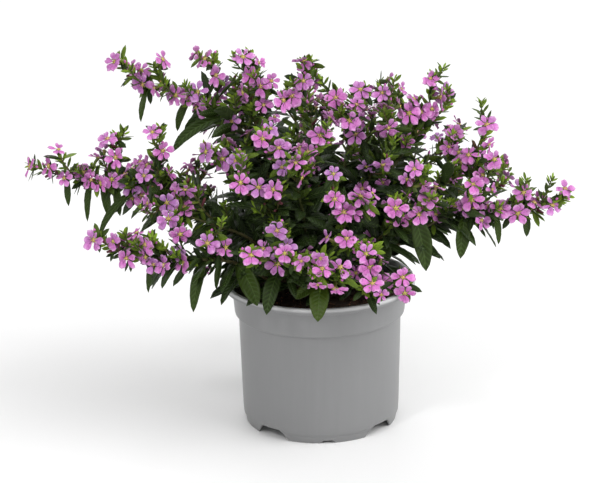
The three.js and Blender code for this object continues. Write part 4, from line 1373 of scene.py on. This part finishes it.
# Room for a twig, its swing and its least length, and where on the stem the twigs stand.
CLOSE_TWIGS, WIDE_TWIGS = (24, 35, 13, 0.45, 0.42), (38, 65, 9, 0.5, 0.48)
GREEN_SEED = 500
greenery = []
small_count = inner_count = 0
for index, plant in enumerate(plants):
    dice = np.random.default_rng(GREEN_SEED + index)
    bed = Bed()
    main = plant["stems"][0]["stem"]
    more = [hanging_leaf(main, *leaf) for leaf in MORE_HANGING.get(index, ())]
    for leaf in plant["hanging"] + more:
        leaf.width *= HANGING_WIDTH
        leaf.fold = HANGING_FOLD
        lay_leaf(bed, leaf, dice, 0.12 if plant["low"] else 0.06 * dice.random(), True)
    for entry in plant["stems"]:
        stem, side = entry["stem"], entry["side"]
        line = stem.smooth
        if not side:
            line = np.concatenate([[(*plant["foot"], STEM_FOOT)], line])
        tube = twig_tube if side else stem_tube
        radii = (stem.foot_radius * 0.85, stem.tip_radius * 0.65)
        bed.lay(tube, bent(tube, line, radii),
                0.3 + 0.5 * dice.random(), 1.0 if side else 0.0, STEM_SLOT)
        for leaf in entry["leaves"]:
            leaf.width *= LEAF_WIDTH
            lay_leaf(bed, leaf, dice, seen_large=leaf.length > LARGE_LEAF)
        small_count += small_pairs(bed, stem, side, plant["low"], dice)
        if not side:
            inner_count += inner_leaves(bed, stem, dice)
        tuft(bed, stem, dice)
        entry["twigs"] = []
        crowded = plant["crowded"] and not side
        room, swing, shortest, first, stretch = CLOSE_TWIGS if crowded else WIDE_TWIGS
        twigs = 1 if side else max(3, int(stem.length / room))
        for k in range(twigs):
            distance = (first + stretch * (k + dice.random()) / twigs) * stem.length
            twig = young_twig(bed, stem, distance, swing, shortest, dice)
            if twig:
                entry["twigs"].append(twig)
                tuft(bed, twig, dice)
    greenery.append(bed)
twig_count = sum(len(entry["twigs"]) for plant in plants for entry in plant["stems"])
print(f"Laid: {small_count} small leaves, {inner_count} inner leaves, {twig_count} young twigs")

# %% [markdown]
# ## Flowers
#
# Six petals stand round the star: two upper ones apart like ears, and four lower ones in a fan.
# Each flower leans, cups and crinkles a little differently, is a little older or younger than
# its neighbour, and so a little bluer or pinker. A slender green tube holds it, and small leaves
# spread from the tube's foot.

# %% The small leaves under a flower
BRACTS, BRACT_LENGTH, BRACT_SPARE, BRACT_WIDTH = 3, 9, 4.5, 0.32


def bracts(bed, flower, dice):
    """Small leaves that spread from the foot of a flower's tube and show past its petals."""
    for k in range(BRACTS):
        turn = 120 * k + 360 * dice.random()
        out = spun(flower.across, flower.facing, turn)
        length = BRACT_LENGTH + BRACT_SPARE * dice.random()
        way = unit(out + flower.facing * (0.3 * dice.random() - 0.1))
        bend = flower.root + way * length / 2
        tip = bend + unit(way - UP * 0.25 + flower.facing * 0.1) * length / 2
        facing = unit(flower.facing + UP * 0.4 + dice.normal(size=3) * 0.4)
        side = unit(np.cross(way, flower.facing))
        leaf = Leaf(flower.root, bend, tip, length * BRACT_WIDTH, facing, side)
        if clears_the_pot(leaf):
            lay_leaf(bed, leaf, dice, max(0.0, dice.random() * 1.3 - 0.6))


print("Small leaves under a flower:", BRACTS)

# %% A petal, as it stands in a flower
PETAL_REACH = 8
CRINKLE, RAGGED = 0.75, 0.3
DROOP_UPPER, DROOP_LOWER = 0.004, -0.011
TILT_UPPER, TILT_LOWER, TILT_SPREAD = 10, 5, 13


def petal_points(shape, bearing, upper, step, cup, dice):
    """A petal's points about the flower's middle: crinkled, ragged, cupped, tilted and turned."""
    x, y, z = shape.points.T
    phase = FULL_TURN * dice.random()
    crinkle = CRINKLE * np.sin(1.7 * y + phase) * (x / PETAL_REACH) ** 2
    ragged = RAGGED * np.sin(2.9 * y + 2 * phase) * (x / PETAL_REACH) ** 3
    droop = DROOP_UPPER if upper else DROOP_LOWER
    rise = z + crinkle + (cup + droop + 0.007 * dice.normal()) * x ** 2 + step
    tilt = math.radians((TILT_UPPER if upper else TILT_LOWER) + TILT_SPREAD * dice.normal())
    reach = x + ragged
    out = reach * math.cos(tilt) - rise * math.sin(tilt)
    rise = reach * math.sin(tilt) + rise * math.cos(tilt)
    angle = math.radians(bearing + 7 * dice.normal())
    y = y * (1 + 0.16 * dice.normal())
    out = out * (1 + 0.07 * dice.normal())
    return np.stack([out * math.cos(angle) - y * math.sin(angle),
                     out * math.sin(angle) + y * math.cos(angle), rise], axis=1)


print("Petals tilt by", TILT_UPPER, "or", TILT_LOWER, "degrees, give or take", TILT_SPREAD)

# %% One flower, with its tube
PETAL_BEARINGS = (61, 119, 179, 239, 301, 361)
UPPER_PETALS = 2
PETAL_FALLEN = 0.03
PETAL_SLOT, STAR_SLOT, EYE_SLOT = 0, 1, 2
MIDDLES = ((flower_star, 0.55, STAR_SLOT), (flower_eye, 0.88, EYE_SLOT))


def lay_flower(blossoms, bed, flower, size, freshness, dice):
    """Petals, star and eye go to the blossoms, the tube and small leaves to the greenery."""
    hue = min(1.0, max(0.0, 0.42 + 0.33 * dice.normal()))
    bracts(bed, flower, dice)
    cup = 0.006 * dice.normal()
    for k, bearing in enumerate(PETAL_BEARINGS):
        if dice.random() < PETAL_FALLEN:
            continue
        upper = k < UPPER_PETALS
        shape = upper_petal if upper else lower_petal
        points = petal_points(shape, bearing, upper, 0.3 * (k % 2), cup, dice)
        vigour = 0.3 * (not upper) + 0.3 * dice.random() + freshness
        blossoms.lay(shape, flower.laid(points * size), hue, vigour, PETAL_SLOT)
    for shape, lift, slot in MIDDLES:
        points = flower.laid((shape.points + (0, 0, lift)) * size)
        blossoms.lay(shape, points, dice.random(), 0, slot)
    line = np.array([flower.root, flower.root * 0.5 + flower.centre * 0.5 - UP * 0.3,
                     flower.centre - flower.facing * 0.6 * size, flower.centre])
    points = bent(calyx_tube, line, (1.3 * size, 1.45 * size))
    bed.lay(calyx_tube, points, dice.random(), 0.4 * dice.random(), TUBE_SLOT)


print("Petals of a flower:", len(PETAL_BEARINGS), "of which upper ones:", UPPER_PETALS)

# %% [markdown]
# Flowers found on the plain solids come first. Smaller ones fill the gaps between them, wherever
# the next flower is far enough away, and buds and spent tubes follow the tips. The real plant is
# not even: flowers crowd on some sprays, and old leaves show in other places. The zones say
# where that is, for an onlooker who stands in front and a little above.

# %% Where smaller flowers stand, and how close
# Zones from x to x and from height to height, in millimetres.
LEAFY = [(-87, 0, 142, 168), (-87, -58, 116, 142), (58, 87, 168, 195), (58, 87, 116, 142),
         (116, 145, 116, 142), (-145, -116, 90, 116), (-150, -116, 250, 280)]
CROWDS = [(-118, -87, 232, 274), (-90, -58, 195, 221), (0, 29, 195, 221), (29, 58, 142, 168),
          (0, 32, 88, 116), (58, 87, 195, 221), (116, 145, 195, 221), (-150, -108, 142, 205)]
CROWD_CHANCE = 0.85
LOOK_DOWN = 0.33
FAR_SIDE = 45


def seen_in(zones, point):
    """True where an onlooker sees the point within one of the zones."""
    height = point[2] + LOOK_DOWN * point[1]
    return any(left < point[0] < right and foot < height < top for left, right, foot, top in zones)


def flower_chance(point, usual):
    """The chance of a smaller flower at a point, from the usual one."""
    if point[1] > FAR_SIDE:
        return usual
    return 0.0 if seen_in(LEAFY, point) else CROWD_CHANCE if seen_in(CROWDS, point) else usual


print("Zones with leaves alone:", len(LEAFY), "and with crowds of flowers:", len(CROWDS))

# %% A smaller flower
# How much smaller flowers look to the front, the room that each needs, its chance, its least
# size and how much that varies, and the step along a stem. A young twig carries one at most.
CROWDED = dict(forward=1.1, apart=6.5, chance=0.8, least=0.76, spare=0.22, step=4.5)
BACK = dict(forward=0.6, apart=8.0, chance=0.5, least=0.7, spare=0.22, step=7.0)
LOOSE = dict(forward=0.5, apart=7.5, chance=0.14, least=0.65, spare=0.22, step=6.5)
ON_TWIG = dict(forward=0.25, apart=7.0, chance=0.45, least=0.7, spare=0.2)
TUBE_SHORTEST, TUBE_SPARE = 6, 2.5
centres = [b.centre for p in plants for e in p["stems"] for b in e["blooms"]]


def filler(blossoms, bed, stem, distance, habit, dice):
    """Lays a smaller flower that looks along its own tube, where it has room. Counts it."""
    point, direction, _ = stem.at(distance)
    out = spun(square(direction, UP + 1e-3), direction, 75 * dice.normal())
    way = unit(out + direction * 0.5 + dice.normal(size=3) * 0.2)
    facing = unit(way + outlook(point) * habit["forward"] + dice.normal(size=3) * 0.25)
    bloom = Flower(point, point + way * (TUBE_SHORTEST + TUBE_SPARE * dice.random()), facing)
    near = min(np.linalg.norm(bloom.centre - other) for other in centres)
    if near <= habit["apart"] or not within_box(bloom.centre):
        return 0
    if dice.random() >= flower_chance(bloom.centre, habit["chance"]):
        return 0
    lay_flower(blossoms, bed, bloom, habit["least"] + habit["spare"] * dice.random(), 0.0, dice)
    centres.append(bloom.centre)
    return 1


print("Flowers that keep their place:", len(centres))

# %% A bud, or a spent tube
TUBES_SPENT = 0.3
BUD_RADIUS, BUD_TIP_RADIUS = 1.15, 1.25


def lay_bud(blossoms, bed, stem, distance, turn, length, dice):
    """A closed bud, or the spent tube that a fallen flower leaves."""
    point, direction, _ = stem.at(distance)
    out = spun(square(direction, UP + 1e-3), direction, turn)
    way = unit(out * 0.8 + direction * 0.6)
    line = np.array([point, point + way * length / 2, point + way * length + UP * 0.4])
    spent = dice.random() < TUBES_SPENT
    age = 1.0 if spent else 0.3 * dice.random()
    points = bent(bud_tube, line, (BUD_RADIUS, BUD_RADIUS))
    bed.lay(bud_tube, points, dice.random(), age, TUBE_SLOT)
    if not spent:
        points = bent(bud_tip, line, (BUD_TIP_RADIUS, BUD_TIP_RADIUS))
        blossoms.lay(bud_tip, points, 0.1 + 0.2 * dice.random(), 1.0, PETAL_SLOT)


print("Share of spent tubes:", TUBES_SPENT)

# %% Lay the flowers of each shoot
BLOOM_SEED = 900
LARGEST = 1.02
BUDS, BUD_STEP, BUD_TURN = 9, 3.9, 137
BUD_LENGTH, BUD_MORE, BUD_MOST = 4.4, 0.9, 4
LOWEST_BUD, LOWEST_FILLER = 0.3, 0.42
blossom_beds = []
filler_count = bud_count = 0
for index, plant in enumerate(plants):
    dice = np.random.default_rng(BLOOM_SEED + index)
    blossoms, bed = Bed(), greenery[index]
    for entry in plant["stems"]:
        stem = entry["stem"]
        for bloom in entry["blooms"]:
            loose = 0.65 if dice.random() < (0.1 if plant["crowded"] else 0.3) else 0.3
            facing = unit(bloom.facing + dice.normal(size=3) * loose)
            size = min(LARGEST, (0.98 if plant["low"] else 0.92) + 0.07 * dice.normal())
            bloom = Flower(bloom.root, bloom.centre, facing)
            lay_flower(blossoms, bed, bloom, size, 0.4 if plant["low"] else 0.1, dice)
        for twig in entry["twigs"]:
            filler_count += filler(blossoms, bed, twig, twig.length - 1.5, ON_TWIG, dice)
        crowded = plant["crowded"] and not entry["side"]
        habit = CROWDED if crowded else BACK if plant["behind"] else LOOSE
        distance = (0.92 if crowded else 0.97) * stem.length
        while distance > LOWEST_FILLER * stem.length:
            filler_count += filler(blossoms, bed, stem, distance, habit, dice)
            distance -= habit["step"] * (0.8 + 0.4 * dice.random())
        for k in range(BUDS):
            distance = stem.length - 1.5 - BUD_STEP * k
            if distance > LOWEST_BUD * stem.length:
                turn = BUD_TURN * k + 40 * dice.random()
                length = BUD_LENGTH + min(BUD_MOST, BUD_MORE * k)
                lay_bud(blossoms, bed, stem, distance, turn, length, dice)
                bud_count += 1
    blossom_beds.append(blossoms)
print(f"Laid: {bloom_count} flowers, {filler_count} smaller ones, {bud_count} buds and tubes")

# %% [markdown]
# ## Leaf, stem, petal and star
#
# The leaf's own map runs from its foot to its tip and from edge to edge, so the midrib is a thin
# line along the middle and the side veins are slanted stripes. Petals have the same kind of
# map: fine darker veins fan out from a claw that is partly its own deeper colour and partly
# painted shade, and the paler tip and edges are partly a painted highlight. Each finish mixes
# in the three numbers that every leaf and petal carries.

# %% Leaf finish
def own_map(finish):
    """The two numbers of a piece's own map: along it, and across it from 0 to 1."""
    flat = finish.node("ShaderNodeUVMap", {"uv_map": "spread"}, {})
    return [finish.node("ShaderNodeSeparateXYZ", {}, {0: flat}, k) for k in range(2)]


leaf_skin = Finish("leaf_skin")
tone, youth, under = leaf_skin.mark("marks")
along, across = own_map(leaf_skin)
aside = (across - 0.5).size() * 2
midrib = (1 - aside / 0.09).clamped() * (1 - along * 0.7)
slant = ((along * 34 - aside * 5.5).sine() ** 6).clamped() * (1 - aside * 0.8)
mottle = leaf_skin.cloud(160, 3, 0.6)
# A low tone is painted shade, given to leaves deep inside the bush.
dark = leaf_skin.blend(tone, (0.005, 0.009, 0.002), (0.027, 0.050, 0.008))
green = leaf_skin.blend(mottle * 0.3, dark, (0.02, 0.04, 0.006))
green = leaf_skin.blend(youth, green, (0.29, 0.45, 0.03))
green = leaf_skin.blend(slant * 0.45, green, (0.07, 0.13, 0.03))
green = leaf_skin.blend(midrib * 0.6, green, (0.13, 0.2, 0.06))
green = leaf_skin.blend(under * 0.4, green, (0.075, 0.12, 0.035))
leaf_skin.wear(
    Base_Color=green,
    Roughness=0.27 + mottle * 0.12 + under * 0.25,
    Normal=leaf_skin.bump(slant * -0.6 - midrib + mottle * 0.3, 0.6, 0.0006),
    Specular_IOR_Level=0.19)
print("Nodes of the leaf finish:", len(leaf_skin.tree.nodes))

# %% Stem and tube finishes
bark = Finish("stem_skin")
tone, youth, _ = bark.mark("marks")
along, _ = own_map(bark)
fleck = bark.cloud(700, 2, 0.6)
old = bark.blend(fleck, (0.03, 0.018, 0.010), (0.08, 0.045, 0.022))
fresh = bark.blend(tone, (0.05, 0.09, 0.014), (0.11, 0.075, 0.025))
bark.wear(
    Base_Color=bark.blend((along * 1.6 + youth).clamped(), old, fresh),
    Roughness=0.55 + fleck * 0.2, Normal=bark.bump(fleck, 0.3, 0.0003))

calyx = Finish("calyx_skin")
tone, age, _ = calyx.mark("marks")
along, _ = own_map(calyx)
sap = calyx.blend(tone, (0.08, 0.15, 0.012), (0.2, 0.28, 0.03))
sap = calyx.blend((along * 1.3 - 0.5) * tone, sap, (0.2, 0.06, 0.04))
calyx.wear(
    Base_Color=calyx.blend(age, sap, (0.11, 0.02, 0.03)),
    Roughness=0.5 + calyx.cloud(900) * 0.1)
print("Nodes of the stem and tube finishes:", len(bark.tree.nodes), len(calyx.tree.nodes))

# %% Petal, star and eye finishes
silk = Finish("petal_skin")
hue, vigour, under = silk.mark("marks")
along, across = own_map(silk)
aside = (across - 0.5).size() * 2
veins = (((across - 0.5) * (46 - along * 22)).sine() ** 8).clamped() * (1 - along * 0.75)
blush = silk.cloud(500, 2, 0.5)
colour = silk.blend(hue, (0.56, 0.175, 0.48), (0.50, 0.24, 0.53))
colour = silk.blend(vigour * 0.75, colour, (0.80, 0.23, 0.66))
colour = silk.blend((hue * 2 - 1.3).clamped() * 0.75, colour, (0.38, 0.225, 0.52))
# Paler tip and edges: partly the petal's own paler margin, partly a painted highlight.
rim = (along * 2.6 - 1.75).clamped() + (aside * 3 - 2.1).clamped() * along
colour = silk.blend(rim.clamped() * 0.7, colour, (0.88, 0.60, 0.85))
colour = silk.blend(under * 0.5, colour, (0.50, 0.25, 0.45))
colour = silk.blend((0.55 - blush) * 2.2, colour, (0.36, 0.09, 0.30))
colour = silk.blend(veins * 0.36, colour, (0.26, 0.03, 0.22))
# Darker claw: partly the petal's own deeper colour, partly painted shade near the middle.
colour = silk.blend((1 - along * 3.2).clamped() * 0.6, colour, (0.30, 0.06, 0.17))
silk.wear(
    Base_Color=colour,
    Roughness=0.62 + blush * 0.12,
    Normal=silk.bump(veins * -0.4 + blush * 1.2, 0.5, 0.0005),
    Specular_IOR_Level=0.15)

lobe, eye = Finish("star_skin"), Finish("eye_skin")
for finish, pale, deep in (
        (lobe, (0.55, 0.52, 0.10), (0.6, 0.42, 0.16)),
        (eye, (0.62, 0.42, 0.08), (0.42, 0.14, 0.08))):
    tone, _, _ = finish.mark("marks")
    finish.wear(Base_Color=finish.blend(tone, pale, deep), Roughness=0.5)
print("Nodes of the petal finish:", len(silk.tree.nodes))

# %% Make the pieces
GREEN_SKINS = [leaf_skin.material, bark.material, calyx.material]
BLOOM_SKINS = [silk.material, lobe.material, eye.material]
for plant, bed, blossoms in zip(plants, greenery, blossom_beds):
    node = plant["node"]
    number = node.split("_")[1]
    finished(bed.made(), f"greenery_{number}", [node], GREEN_SKINS)
    finished(blossoms.made(), f"blossoms_{number}", [node], BLOOM_SKINS)

# %% [markdown]
# ## Last look
#
# The plain solids' box is printed last: it is the box that young twigs and smaller flowers
# keep within. The finer plant may pass the plain one's box by a few millimetres and no more.

# %% Print the plain box
print("Plain box:  ", [[round(v, 4) for v in corner] for corner in cad_box])
